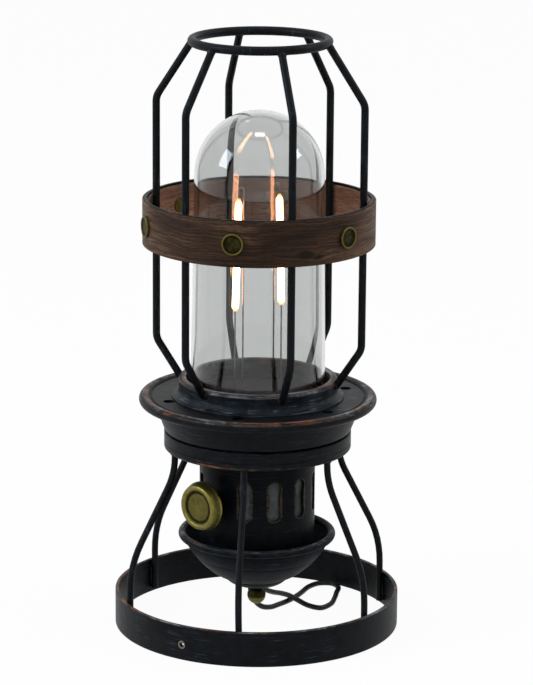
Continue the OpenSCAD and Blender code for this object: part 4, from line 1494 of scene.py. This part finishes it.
    def build(self) -> None:
        """Makes the cord with what is on it, and both its free stretches."""
        sheath = Moulded("cord_sheath", "#0b0c0d", "#141617", 0.4, 0.8, 0.03).build()
        moulding = Moulded("dark_moulding", "#101214", "#1a1c1e", 0.45).build()
        strap = Moulded("woven_strap", "#1c1f22", "#2b2f33", 0.85, 0.7, 0.2).build()
        dress(self.palette.zinc, "plug_blades")
        dress(strap, "coil_tie")
        nodes = frame["nodes"]
        pieces = [self.relief(), self.plug(moulding), nodes["plug_blades"], nodes["coil_tie"]]
        outer = self.sheath("coiled_cord", self.outer_points(), 3)
        keep(outer, sheath, Slot.CORD, "cord_lead", "cord_coil", "cord_tail")
        inner = keep(self.sheath("loose_cord", self.inner_points(), 8), sheath, Slot.CORD, "cord_inner")
        self.bush()


# ---- The base: ring and legs ----


@dataclass
class Base:
    """The wide ring on the table and the six bent legs welded inside it."""

    palette: Palette
    wall: float = RING_WALL
    edge: float = 0.6
    hole_turn: float = 12.0
    hole_z: float = 10.5
    hole_d: float = 3.9
    exit_turn: float = EXIT_TURN
    exit_z: float = EXIT_Z
    exit_r: float = 3.9
    leg_turn: float = 34.0
    leg_r: float = 2.2
    leg_top_r: float = 58.5
    leg_foot_r: float = 90.2
    splay_drop: float = 13.5
    knee_z: float = 47.9
    splay_bend: float = 45.0
    knee_bend: float = 70.0
    lean: tuple[float, ...] = (1.6, 0.3, -0.4, 0.5, -0.3, 0.4)

    def ring(self) -> None:
        """The ring, with its two holes."""
        size = span("base_ring")
        outline = rounded_band(size.radius, size.radius - self.wall, size.low, size.high, self.edge, 0.6)
        ring = spun("base_hoop", outline, 192)
        holes = (self.hole_turn, self.hole_z, self.hole_d / 2), (self.exit_turn, self.exit_z, self.exit_r)
        lifted = Matrix.Translation((0, 0, size.radius * MM))
        cutters = [drill(radius, 20, outward(turn, height) @ lifted) for turn, height, radius in holes]
        carved(ring, cutters)
        outline.wear_on(ring)
        keep(smoothed(ring), self.palette.iron, Slot.IRON, "base_ring")

    def eyelet(self) -> None:
        """The small brass eyelet, rolled over the ring's outer face."""
        inner, outer, flange = 1.25, 1.85, 2.7
        face = span("base_ring").radius
        outline = (
            Outline().to(inner, face - self.wall).to(outer, face - self.wall).to(outer, face + 0.05)
            .to(flange, face + 0.05).arc((flange - 0.2, face + 0.25), 0.2, -60, 80, 0.8, 4)
            .to(inner + 0.5, face + 0.42, 0.6).to(inner, face - 0.2)
        )
        eyelet = put(smoothed(spun("brass_eyelet", outline, 40)), outward(self.hole_turn, self.hole_z))
        dull = AntiqueBrass("dull_brass", "#24211a", "#48433a", "#676055", "#89827a")
        keep(eyelet, dull.build(), Slot.BRASS, "hole_eyelet")

    def legs(self) -> None:
        """The six legs, each with its weld beads, and with its foot leaning a little off its turn."""
        drum, ring, foot = span("drum").low, span("base_ring"), span("leg_1").low
        path = [
            (self.leg_top_r, drum), (self.leg_top_r, drum - self.splay_drop),
            (self.leg_foot_r, self.knee_z), (self.leg_foot_r, foot),
        ]
        rod = bent_rod("leg", path, [self.splay_bend, self.knee_bend], self.leg_r)
        sharp = math.radians(60)
        finished(rod, "BEVEL", width=0.5 * MM, segments=2, limit_method="ANGLE", angle_limit=sharp)
        inside = ring.radius - self.wall
        beads = [
            weld_bead((inside - 0.7, side * 2.1, ring.low + 11 + side), (0.9, 0.9, 7.0), 4 + side)
            for side in (-1, 1)
        ]
        collar = weld_bead((self.leg_top_r, 0, drum - 0.3), (2.9, 2.9, 1.0), 9)
        leg = smoothed(joined("leg", [rod, *beads, collar]))
        for i, lean in enumerate(self.lean):
            copy = copied(leg, f"splayed_leg_{i + 1}", round_turn(self.leg_turn + STEP * i + lean))
            twist = math.radians(-lean)
            finished(copy, "SIMPLE_DEFORM", deform_method="TWIST", deform_axis="Z", angle=twist)
            keep(copy, self.palette.rods, Slot.IRON, f"leg_{i + 1}")
        bpy.data.objects.remove(leg)

    def build(self) -> None:
        """Makes the base."""
        self.ring()
        self.eyelet()
        self.legs()


# ---- The body: drum, burner, bowl and knob ----


@dataclass
class BurnerBody:
    """The drum with the slotted burner tube and the spun bowl drawn up under it."""

    palette: Palette
    drum_round: float = 1.4
    sheet: float = 2.0
    neck_r: float = 58.0
    neck_in_r: float = 55.0
    rod_hole: float = 2.1
    burner_wall: float = 1.5
    slots: int = 12
    slot_z: float = 93.3
    slot_h: float = 26.6
    slot_w: float = 9.0
    slot_waist: float = 2.0
    slot_rub: float = 2.0
    knob_z: float = KNOB_Z
    bush_hole: float = 4.1
    bowl_z: float = 26.0
    bowl_r: float = 50.0
    bowl_h: float = 35.6
    bowl_rim: float = 2.6
    bowl_wall: float = 1.5
    line_places: tuple[int, ...] = (22, 36, 50)
    line_cut: float = 0.22
    ball_z: float = 17.6
    ball_r: float = 6.2

    def drum(self) -> None:
        """The drum, with its rounded lower edge and the neck that carries the dish."""
        size = span("drum")
        r, low, bend, sheet = size.radius, size.low, self.drum_round, self.sheet
        top, corner = size.high - 1.7, max(bend, sheet + 0.1)
        # The lower rounding and the bands above it are worn bright: partly rubbed metal, partly a painted
        # highlight line.
        outline = (
            Outline().to(self.rod_hole, low).to(r - bend - 6, low).to(r - bend, low, 0.1)
            .arc((r - bend, low + bend), bend, -90, 0, 0.75, 8)
            .to(r, low + bend + 0.5, 0.6).to(r, low + bend + 1.3, 0.25).to(r, low + bend + 2.0, 0.55)
            .to(r, low + bend + 2.8).to(r - 0.3, low + bend + 3.1).to(r, low + bend + 3.5, 0.45)
            .to(r, low + bend + 4.0).to(r, top - 2.0).to(r, top - 0.9, 0.1)
            .arc((r - 0.6, top - 0.6), 0.6, 0, 90, 0.2, 4)
            .to(self.neck_r + 0.4, top).to(self.neck_r, top + 0.3).to(self.neck_r, size.high)
            .to(self.neck_in_r, size.high).to(self.neck_in_r, top - sheet).to(r - sheet, top - sheet)
            .arc((r - corner, low + corner), corner - sheet, 0, -90, 0.0, 4).to(self.rod_hole, low + sheet)
        )
        # That wear and painted highlight are strongest towards turn 15, on the lamp's front.
        drum = wear_and_highlight_toward(smoothed(spun("turned_drum", outline, 192)), turn=15, spread=70)
        keep(drum, self.palette.iron, Slot.IRON, "drum")

    def slot_cutter(self, turn: float) -> Piece:
        """A waisted air slot, as a cutter through the tube's wall.

        Args:
            turn: Where the slot is.

        Returns:
            The cutter.
        """
        half, end, waist, steps = self.slot_w / 2, (self.slot_h - self.slot_w) / 2, self.slot_waist, 10
        hollow = (end**2 + (waist / 2) ** 2) / waist
        outline = Outline()
        for side in (1, -1):
            start = 0 if side > 0 else 180
            outline.arc((0, side * end), half, start, start + 180, 0.0, steps)
            sweep = math.degrees(math.asin(end / hollow))
            middle = -side * (half - waist / 2 + hollow)
            first = math.degrees(math.atan2(side * end, side * math.sqrt(hollow**2 - end**2)))
            outline.arc((middle, 0), hollow, first, first - 2 * sweep, 0.0, steps)
        face = span("burner_tube").radius
        slot = prism("slot", outline.points, face - 6, face + 6)
        return put(slot, outward(turn, self.slot_z))

    def rub_slots(self, tube: Piece, radius: float) -> None:
        """Wears the tube along the edges of its slots, but not where the knob stands.

        Args:
            tube: The tube.
            radius: Its outer radius.
        """
        places = places_of(tube)
        turn = np.degrees(np.arctan2(places[:, 0], -places[:, 1]))
        around = turn % (STEP / 2)
        near = np.minimum(around, STEP / 2 - around) * math.radians(1) * radius
        past = np.maximum(np.abs(places[:, 2] - self.slot_z) - (self.slot_h - self.slot_w) / 2, 0)
        gap = np.hypot(near, past) - self.slot_w / 2
        worn = np.clip(1.0 - np.abs(gap) / self.slot_rub, 0, 0.75)
        wear_out(tube, worn * (np.abs(turn) > STEP / 4))

    def burner(self) -> None:
        """The burner tube, whose slots are worn brown along their edges."""
        size = span("burner_tube")
        r, inner, rows, edge = size.radius, size.radius - self.burner_wall, 52, 0.4
        outline = Outline().arc((r - edge, size.low + edge), edge, -90, 0, 0.2, 3)
        outline.along([(r, size.low + 1 + (size.high - size.low - 2) * i / rows) for i in range(rows + 1)])
        outline.to(r, size.high).to(inner, size.high).to(inner, size.low + edge)
        tube = spun("burner_tube_slotted", outline, 240)
        turns = [STEP / 2 * i for i in range(1, self.slots)]
        carved(tube, [self.slot_cutter(turn) for turn in turns])
        bush = outward(0, self.knob_z) @ Matrix.Translation((0, 0, r * MM))
        carved(tube, [drill(self.bush_hole, 10, bush)])
        self.rub_slots(tube, r)
        brown = BlackenedIron(
            "burner_iron", "#050608", "#101316", "#3a444d", "#4b3d2d", "#40372b", "#49423a", 0.3, shine=0.05
        )
        keep(smoothed(tube, 40), brown.build(), Slot.IRON, "burner_tube")

    def bowl_line(self) -> list[Point]:
        """The bowl's outer line, from its flat foot to under its rim.

        Returns:
            The line's points, in radius and height.
        """
        r, h, z = self.bowl_r, self.bowl_h, self.bowl_z
        foot = [(13, 0), (0.35 * r, 0.05 * h), (0.42 * r, 0.126 * h), (0.44 * r, 0.168 * h)]
        bowl = [
            (0.46 * r, 0.174 * h), (0.6 * r, 0.281 * h), (0.76 * r, 0.478 * h), (0.86 * r, 0.64 * h),
            (0.93 * r, 0.787 * h), (r - 1, h - self.bowl_rim + 0.4),
        ]
        return [(x, y + z) for x, y in [*smooth_line(foot, 5), *smooth_line(bowl, 7)]]

    def bowl(self) -> None:
        """The spun bowl, with its rolled rim and the lines that the spinning tool left."""
        line = self.bowl_line()
        rim = (self.bowl_r, self.bowl_z + self.bowl_h)
        outline = Outline().to(self.rod_hole, self.bowl_z)
        for i, (radius, height) in enumerate(line):
            cut = self.line_cut if i in self.line_places else 0.0
            outline.to(radius - cut, height + cut, 0.25 if cut else 0.0)
        # The top of the rolled rim, from 40 to 100 degrees, is worn bright: partly rubbed metal, partly a
        # painted highlight line.
        outline.arc(rim, self.bowl_rim, -100, 25, 0.1, 10).arc(rim, self.bowl_rim, 40, 100, 0.55, 6)
        outline.arc(rim, self.bowl_rim, 115, 215, 0.1, 8)
        inside = []
        for i, (radius, height) in enumerate(line):
            before, after = line[max(i - 1, 0)], line[min(i + 1, len(line) - 1)]
            run = math.hypot(after[0] - before[0], after[1] - before[1])
            lean = (-(after[1] - before[1]) / run, (after[0] - before[0]) / run) if i else (0, 1)
            inside.append((radius + self.bowl_wall * lean[0], height + self.bowl_wall * lean[1]))
        outline.along(inside[::-2]).to(self.rod_hole, self.bowl_z + self.bowl_wall)
        bowl = spun("spun_bowl", outline, 192)
        low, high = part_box("cord_bush")
        middle = (low + high) / 2
        where = Matrix.Translation((middle.x, middle.y, self.bowl_z * MM))
        outline.wear_on(carved(bowl, [drill(3.0, 8, where)]))
        satin = BlackenedIron(
            "bowl_iron", "#0b0d10", "#1e242a", copper="#5d4c40", brown="#494540", rough=0.5, shine=0.04
        )
        keep(smoothed(bowl), satin.build(), Slot.IRON, "drip_bowl")

    def finial(self) -> None:
        """The ball nut under the bowl."""
        neck, z, r, top = 3.2, self.ball_z, self.ball_r, self.bowl_z
        start = math.degrees(math.acos(neck / r))
        outline = (
            Outline().arc((0, z), r, -90, -10, 0.5, 12).arc((0, z), r, -5, start, 0.1, 10)
            .to(neck, z + 5.6).to(neck, top - 1.6)
            .to(neck + 0.6, top - 1.0, 0.4).to(neck + 0.6, top).to(0, top)
        )
        keep(smoothed(spun("ball_nut", outline, 64)), self.palette.brass, Slot.BRASS, "finial_ball")

    def build(self) -> None:
        """Makes the body, and dresses what it holds inside."""
        self.drum()
        self.burner()
        self.bowl()
        self.finial()
        sleeve = PlainMetal("grey_sleeve", "#34393a", "#505453", 0.6, (6.0, 6.0, 0.6)).build()
        dress(sleeve, "inner_sleeve")
        dress(self.palette.zinc, "center_rod", "rod_nut", "dish_screws")
        dress(Moulded("white_moulding", "#d8d8d4", "#e6e6e2", 0.5).build(), "led_driver")


@dataclass
class Dimmer:
    """The dimmer's brass knob on its shaft, and the nut that clamps the dimmer to the tube."""

    palette: Palette
    height: float = KNOB_Z
    back: float = 51.0
    face: float = 58.8
    radius: float = 16.5
    bore: float = 3.02
    hub_r: float = 5.0
    hub_l: float = 5.0

    def knob(self) -> None:
        """The knob: a tapered disc with a rolled rim, a groove and a dished middle."""
        r, back, face = self.radius, self.back, self.face
        outline = (
            Outline().to(self.bore, back - self.hub_l).to(self.hub_r - 0.4, back - self.hub_l, 0.3)
            .to(self.hub_r, back - self.hub_l + 0.4, 0.4).to(self.hub_r, back - 1.2, 0.1)
            .arc((self.hub_r + 1, back - 1), 1.0, 180, 90, 0.1, 4)
            .to(r - 1.0, back, 0.2).arc((r - 0.8, back + 0.8), 0.8, -90, 0, 0.9, 4)
            .to(r, back + 1.9, 0.8).to(r - 0.25, back + 2.3, 0.5).to(r - 0.55, back + 3.4, 0.35)
            .to(r - 0.9, face - 3.0, 0.4).to(r - 1.45, face - 1.9, 0.6)
            .arc((r - 3.5, face - 2), 2, 25, 138, 0.72, 12)
            .to(r - 5.35, face - 1.2, 0.4).to(r - 5.75, face - 1.55, 0.12).to(r - 6.15, face - 1.72)
            .to(r - 6.6, face - 1.74).to(r - 7.0, face - 1.62, 0.1).to(r - 7.5, face - 1.42, 0.35)
            .to(r - 8.2, face - 1.26, 0.5).to(r - 9.2, face - 1.22, 0.48).to(r - 11, face - 1.36, 0.46)
            .to(3.0, face - 1.62, 0.52).to(1.5, face - 1.66, 0.55).to(0, face - 1.67, 0.55)
            .to(0, back + 4.1).to(self.bore, back + 4.1)
        )
        knob = put(smoothed(spun("brass_knob", outline, 128), 40), outward(0, self.height))
        turned = AntiqueBrass("turned_brass", lathe_axis="Y", lathe_centre=(0, 0, self.height)).build()
        keep(knob, turned, Slot.BRASS, "knob", body=Body.KNOB)

    def build(self) -> None:
        """Makes the knob, and dresses the dimmer."""
        self.knob()
        # A darker copy of the aged brass for the dimmer parts behind the knob: a brownish brass with painted
        # shade for the knob's shadow.
        dark = AntiqueBrass("dark_brass_painted_shade", "#15120a", "#3a311a", "#5c4e29", "#857743")
        dress(dark.build(), "dimmer_nut", "dimmer_body", "knob_shaft")


# ---- The dish, the gallery and the lamp ----


@dataclass
class DishAndGallery:
    """The spun dish with its rolled rim and vents, and the collar that holds the glass."""

    palette: Palette
    plate_z: float = 157.0
    rim_r: float = 75.4
    rim_round: float = 3.5
    sheet: float = 1.6
    flange_in: float = 52.0
    drum_r: float = 62.2
    plate_in: float = 40.5
    vent_turn: float = 30.0
    vent_ring: float = 61.3
    vent_d: float = 7.6
    gallery_r: float = GALLERY_R
    gallery_in: float = 47.7
    gallery_h: float = 13.0
    foot: float = 4.8

    def dish(self) -> None:
        """The dish: a flange, a cove, the rolled rim, a groove, and the plate with its vents."""
        low, plate, rim_r, sheet = span("dish").low, self.plate_z, self.rim_r, self.sheet
        rim = (rim_r, plate - self.rim_round + 1.5)
        cove = (rim_r - 7.9, rim[1] - 5.5)
        inside = self.drum_r - sheet
        bell = [
            (self.drum_r + 0.4, low + 1.0), (self.drum_r + 2.1, low + 5.5),
            cove, (cove[0] + 2.0, cove[1] + 2.4),
        ]
        under = smooth_line(bell, 5)
        outline = (
            Outline().to(self.flange_in, low).to(self.drum_r, low, 0.3).along(under)
            .to(rim[0] - 3.4, rim[1] - 2.9)
            # The top of the rolled rim is worn bright: partly rubbed metal, partly a painted highlight line.
            .arc(rim, self.rim_round, -140, -50, 0.05, 8).arc(rim, self.rim_round, -40, 20, 0.15, 8)
            .arc(rim, self.rim_round, 28, 66, 0.6, 5).arc(rim, self.rim_round, 74, 126, 0.95, 9)
            .to(rim_r - 2.5, plate + 0.75, 0.5)
            .arc((rim_r - 4.25, plate - 0.1), 0.75, 0, -180, 0.0, 8)
            .to(rim_r - 5.3, plate, 0.3).to(rim_r - 6.0, plate).to(self.gallery_r + 9, plate)
            .to(self.plate_in, plate).to(self.plate_in, plate - sheet)
            .to(cove[0] - 0.4, plate - sheet).to(cove[0] - sheet - 0.2, cove[1] + 0.4)
            .to(inside + 2.1, low + 5.8).to(inside, low + sheet).to(self.flange_in, low + sheet)
        )
        dish = spun("spun_dish", outline, 224)
        vents = []
        spot = Matrix.Translation((0, -self.vent_ring * MM, plate * MM))
        for i in range(SIDES):
            turned = Matrix.Rotation(math.radians(self.vent_turn + STEP * i), 4, "Z")
            vents.append(drill(self.vent_d / 2, 8, turned @ spot))
        outline.wear_on(carved(dish, vents))
        # That wear is strongest at turn 42, the camera's own turn, and keeps 0.65 of itself elsewhere.
        rubbed = wear_and_highlight_toward(smoothed(dish), turn=42, spread=110, rest=0.65)
        keep(rubbed, self.palette.iron, Slot.IRON, "dish")

    def gallery(self) -> None:
        """The collar: a rounded foot, a cove, an upright wall and a rolled lip."""
        plate, r, inner, foot_h, lip = self.plate_z, self.gallery_r, self.gallery_in, 1.0, 1.9
        foot_r, top, cove = r + self.foot, plate + self.gallery_h, self.foot - 0.4
        outline = (
            Outline().to(inner, plate).to(foot_r - 0.8, plate)
            .arc((foot_r - foot_h / 2, plate + foot_h / 2), foot_h / 2, -60, 80, 0.3, 6)
            .arc((r + cove, plate + foot_h + cove), cove, -90, -180, 0.05, 10)
            .to(r, plate + foot_h + cove + 1.0).to(r, top - lip - 1.6).to(r + 0.35, top - lip - 0.4, 0.1)
            .arc((r - lip + 0.35, top - lip), lip, 0, 90, 0.5, 8).to(inner + 1.6, top - 0.1, 0.7)
            .arc((inner + 0.6, top - 0.6), 0.6, 90, 180, 0.9, 4)
        )
        dusty = BlackenedIron(
            "brushed_iron", "#0c0f12", "#21272d", "#62727e",
            scuffs=1.0, streak=(17.0, 17.0, 0.8), patch=12.0,
        )
        keep(smoothed(spun("glass_gallery", outline, 192)), dusty.build(), Slot.IRON, "gallery")

    def build(self) -> None:
        """Makes the dish and the gallery, and dresses the plate and its gasket."""
        self.dish()
        self.gallery()
        plate = BlackenedIron("lamp_plate_iron", "#1b1a1d", "#333034", "#47444a", scuffs=0.6)
        dress(plate.build(), "lamp_plate")
        dress(self.palette.rubber, "glass_gasket")


@dataclass
class Lamp:
    """The glass dome and the two lit filaments on their wires."""

    palette: Palette
    glass_r: float = 44.7
    glass_top_r: float = 42.6
    glass_h: float = 146.4
    wall: float = 2.0
    filament_r: float = 18.0
    filament_d: float = 4.4
    filament_l: float = 72.0
    filament_turn: float = -15.0
    lean: float = 1.8

    def dome(self) -> None:
        """The glass dome, with a fire-polished lower edge."""
        low, high, wall = span("glass_dome").low, self.glass_h, self.wall
        r, top_r, edge, rows = self.glass_r, self.glass_top_r, wall / 2, 12
        side = [(r + (top_r - r) * i / rows, low + high * i / rows) for i in range(1, rows)]
        outline = Outline().arc((r - edge, low + edge), edge, -90, 0, 0.0, 5).along(side)
        outline.arc((0, low + high), top_r, 0, 90, 0.0, 32)
        outline.arc((0, low + high), top_r - wall, 90, 0, 0.0, 32)
        outline.along([(radius - wall, height) for radius, height in reversed(side)])
        outline.arc((r - edge, low + edge), edge, 180, 252, 0.0, 4)
        dome = smoothed(spun("glass_dome_blown", outline, 192), 60)
        keep(dome, ClearGlass("clear_glass").build(), Slot.GLASS, "glass_dome")

    def filaments(self) -> None:
        """Both filaments, each a rod that tapers into its end caps."""
        size = span("filament_left")
        half = (size.high - size.low) / 2
        r, long = self.filament_d / 2, self.filament_l
        outline = (
            Outline().to(0, -1.5).to(r * 0.55, -1.5).to(r * 0.6, -0.6)
            .arc((r - 0.9, 0.9), 0.9, -90, 0, 0.0, 4).to(r, long * 0.5)
            .to(r, long - 2.6).to(r * 0.86, long - 1.2)
            .to(r * 0.58, long + 0.2).to(r * 0.4, long + 1.4).to(0, long + 1.5)
        )
        glow = LitFilament("lit_filament", (size.low + size.high) / 2, half).build()
        foot = size.low + 1.5 * math.cos(math.radians(self.lean))
        for side, turn in (("left", self.filament_turn), ("right", self.filament_turn + 180)):
            rod = smoothed(spun(f"glowing_{side}", outline, 32))
            lifted = Matrix.Translation((self.filament_r * MM, 0, foot * MM))
            put(rod, round_turn(turn) @ lifted @ Matrix.Rotation(math.radians(-self.lean), 4, "Y"))
            keep(rod, glow, Slot.LIT, f"filament_{side}")

    def build(self) -> None:
        """Makes the dome and the filaments, and dresses the wires."""
        self.dome()
        self.filaments()
        wire = PlainMetal("filament_wire", "#6e6a66", "#9a958f", 0.3, (0.4, 0.4, 6.0)).build()
        dress(wire, "filament_frame_left", "filament_frame_right")


# ---- The cage and its band ----


@dataclass
class Cage:
    """The six bent bars, welded to the gallery below and to the ring on top."""

    palette: Palette
    foot: Point = (GALLERY_R, 166.0)
    low_corner: Point = (69.4, 192.0)
    high_corner: Point = (69.4, 354.5)
    ring: Point = (44.2, 393.6)
    ring_rod: float = 3.0
    bar_r: float = 2.5
    bend: float = 12.0

    def top_ring(self) -> None:
        """The ring on top."""
        outline = torus_outline(self.ring, self.ring_rod)
        keep(smoothed(spun("top_hoop", outline, 144)), self.palette.rods, Slot.IRON, "cage_top_ring")

    def bars(self) -> None:
        """The six bars, each with a weld bead at both its ends."""
        path = [self.foot, self.low_corner, self.high_corner, self.ring]
        rod = bent_rod("bar", path, [self.bend, self.bend], self.bar_r)
        lower = weld_bead((self.foot[0] + 0.4, 0, self.foot[1] + 0.8), (1.5, 3.3, 3.2), 11)
        upper = weld_bead((self.ring[0] + 1.9, 0, self.ring[1] - 2.6), (2.6, 3.0, 2.2), 12)
        bar = smoothed(joined("bar", [rod, lower, upper]))
        for i in range(SIDES):
            copy = copied(bar, f"bent_bar_{i + 1}", round_turn(STEP * i))
            keep(copy, self.palette.rods, Slot.IRON, f"cage_bar_{i + 1}")
        bpy.data.objects.remove(bar)

    def build(self) -> None:
        """Makes the cage."""
        self.top_ring()
        self.bars()


@dataclass
class Band:
    """The steel hoop on the cage, faced with wood outside and inside, with six brass studs."""

    palette: Palette
    lining_in: float = 72.25
    hoop_in: float = 73.25
    hoop_out: float = 75.25
    wood_out: float = 76.45
    hem: float = 0.5
    lining_hem: float = 1.6
    wrap_seam: float = 222.5
    lining_seam: float = 42.5
    seam_gap: float = 0.35
    stud_turn: float = 30.0
    stud_r: float = 7.1
    stud_h: float = 2.0
    knots: tuple[Knot, ...] = (Knot(65.5, 268.3, 4.2, 1.7), Knot(72.0, 267.0, 2.4, 0.9))

    def strip(self, name: str, outer: float, inner: float, seam: float, upper_hem: float) -> Piece:
        """Bends a strip of wood to a hoop that is open by a hair at its butt joint.

        Args:
            name: The piece's name.
            outer: Its outer radius.
            inner: Its inner radius.
            seam: The turn of its butt joint.
            upper_hem: How far it stays below the hoop's upper edge.

        Returns:
            The strip.
        """
        hoop = span("band_hoop")
        outline = rounded_band(outer, inner, hoop.low + self.hem, hoop.high - upper_hem, 0.3, 0.5)
        strip = spun(name, outline, 288)
        bpy.ops.mesh.primitive_cube_add(size=MM)
        middle = Matrix.Translation((0, 0, (outer + inner) / 2 * MM))
        shape = Matrix.Diagonal((self.seam_gap, 60, 8, 1))
        carved(strip, [put(named("saw"), outward(seam, (hoop.low + hoop.high) / 2) @ middle @ shape)])
        outline.wear_on(strip)
        return smoothed(strip)

    def studs(self) -> None:
        """The six studs, each a turned head with a raised rim, and the washers behind them."""
        r, seat, bead = self.stud_r, self.wood_out, 0.6
        top = seat + self.stud_h
        back = seat - 0.25
        outline = (
            Outline().to(0, back).to(r - 0.2, back).to(r, back + 0.3, 0.5).to(r, top - bead, 0.7)
            .arc((r - bead, top - bead), bead, 0, 150, 0.5, 12)
            .to(r - 1.3, top - 0.62, 0.0).to(r - 1.9, top - 0.76).to(r - 3.4, top - 0.74, 0.08)
            .to(1.2, top - 0.7, 0.1).to(0, top - 0.7, 0.1)
        )
        stud = smoothed(spun("stud", outline, 72), 45)
        washer_r, washer_low = 5.25, self.lining_in - 1.2
        low = (
            Outline().to(0, washer_low - 0.5, 0.4).to(1.8, washer_low - 0.4, 0.5).to(2.2, washer_low, 0.4)
            .to(washer_r - 0.3, washer_low, 0.4).to(washer_r, washer_low + 0.3, 0.6)
            .to(washer_r, self.lining_in - 0.25).to(0, self.lining_in - 0.25)
        )
        washer = smoothed(spun("washer", low, 56), 45)
        height = (span("band_hoop").low + span("band_hoop").high) / 2
        heads = []
        backs = []
        for i in range(SIDES):
            where = outward(self.stud_turn + STEP * i, height)
            heads.append(copied(stud, f"head_{i}", where))
            backs.append(copied(washer, f"back_{i}", where))
        bpy.data.objects.remove(stud)
        bpy.data.objects.remove(washer)
        keep(joined("brass_studs", heads), self.palette.brass, Slot.BRASS, "band_studs")
        keep(joined("stud_washers", backs), self.palette.brass, Slot.BRASS, "stud_backs")

    def build(self) -> None:
        """Makes the band."""
        size = span("band_hoop")
        middle = (size.low + size.high) / 2
        outline = rounded_band(self.hoop_out, self.hoop_in, size.low, size.high, 0.3, 0.35)
        hoop = smoothed(spun("steel_hoop", outline, 288))
        keep(hoop, self.palette.iron, Slot.IRON, "band_hoop")
        outer = BentWood(
            "walnut_outside", self.wood_out, middle, self.wrap_seam,
            "#110a06", "#2b1d14", "#453124", "#6d533e", self.knots,
        )
        strip = self.strip("walnut_wrap", self.wood_out, self.hoop_out + 0.02, self.wrap_seam, self.hem)
        keep(strip, outer.build(), Slot.WALNUT, "band_wrap")
        # The lining is paler than the outside walnut: partly its own wood, partly painted light from the
        # glowing filaments in front of it. It also takes the painted shade at turn 30.
        inner = BentWood(
            "walnut_inside_painted_light", self.lining_in, middle, self.lining_seam,
            "#362b24", "#5a493f", "#756052", "#91796a", (), 30.0, 2.2, 0.5,
        )
        strip = self.strip(
            "walnut_lining", self.hoop_in - 0.02, self.lining_in, self.lining_seam, self.lining_hem
        )
        keep(strip, inner.build(), Slot.LINING, "band_lining")
        self.studs()


def main() -> None:
    """Builds the camera and the cords first, and then the lamp from the table up."""
    logging.basicConfig(level=logging.INFO, format="%(name)s: %(message)s")
    palette = Palette()
    for builder in (
        Studio(),
        MainsCord(palette),
        Base(palette),
        BurnerBody(palette),
        Dimmer(palette),
        DishAndGallery(palette),
        Lamp(palette),
        Cage(palette),
        Band(palette),
    ):
        builder.build()
        LOG.info("%s is done", type(builder).__name__)


if __name__ == "__main__":
    main()
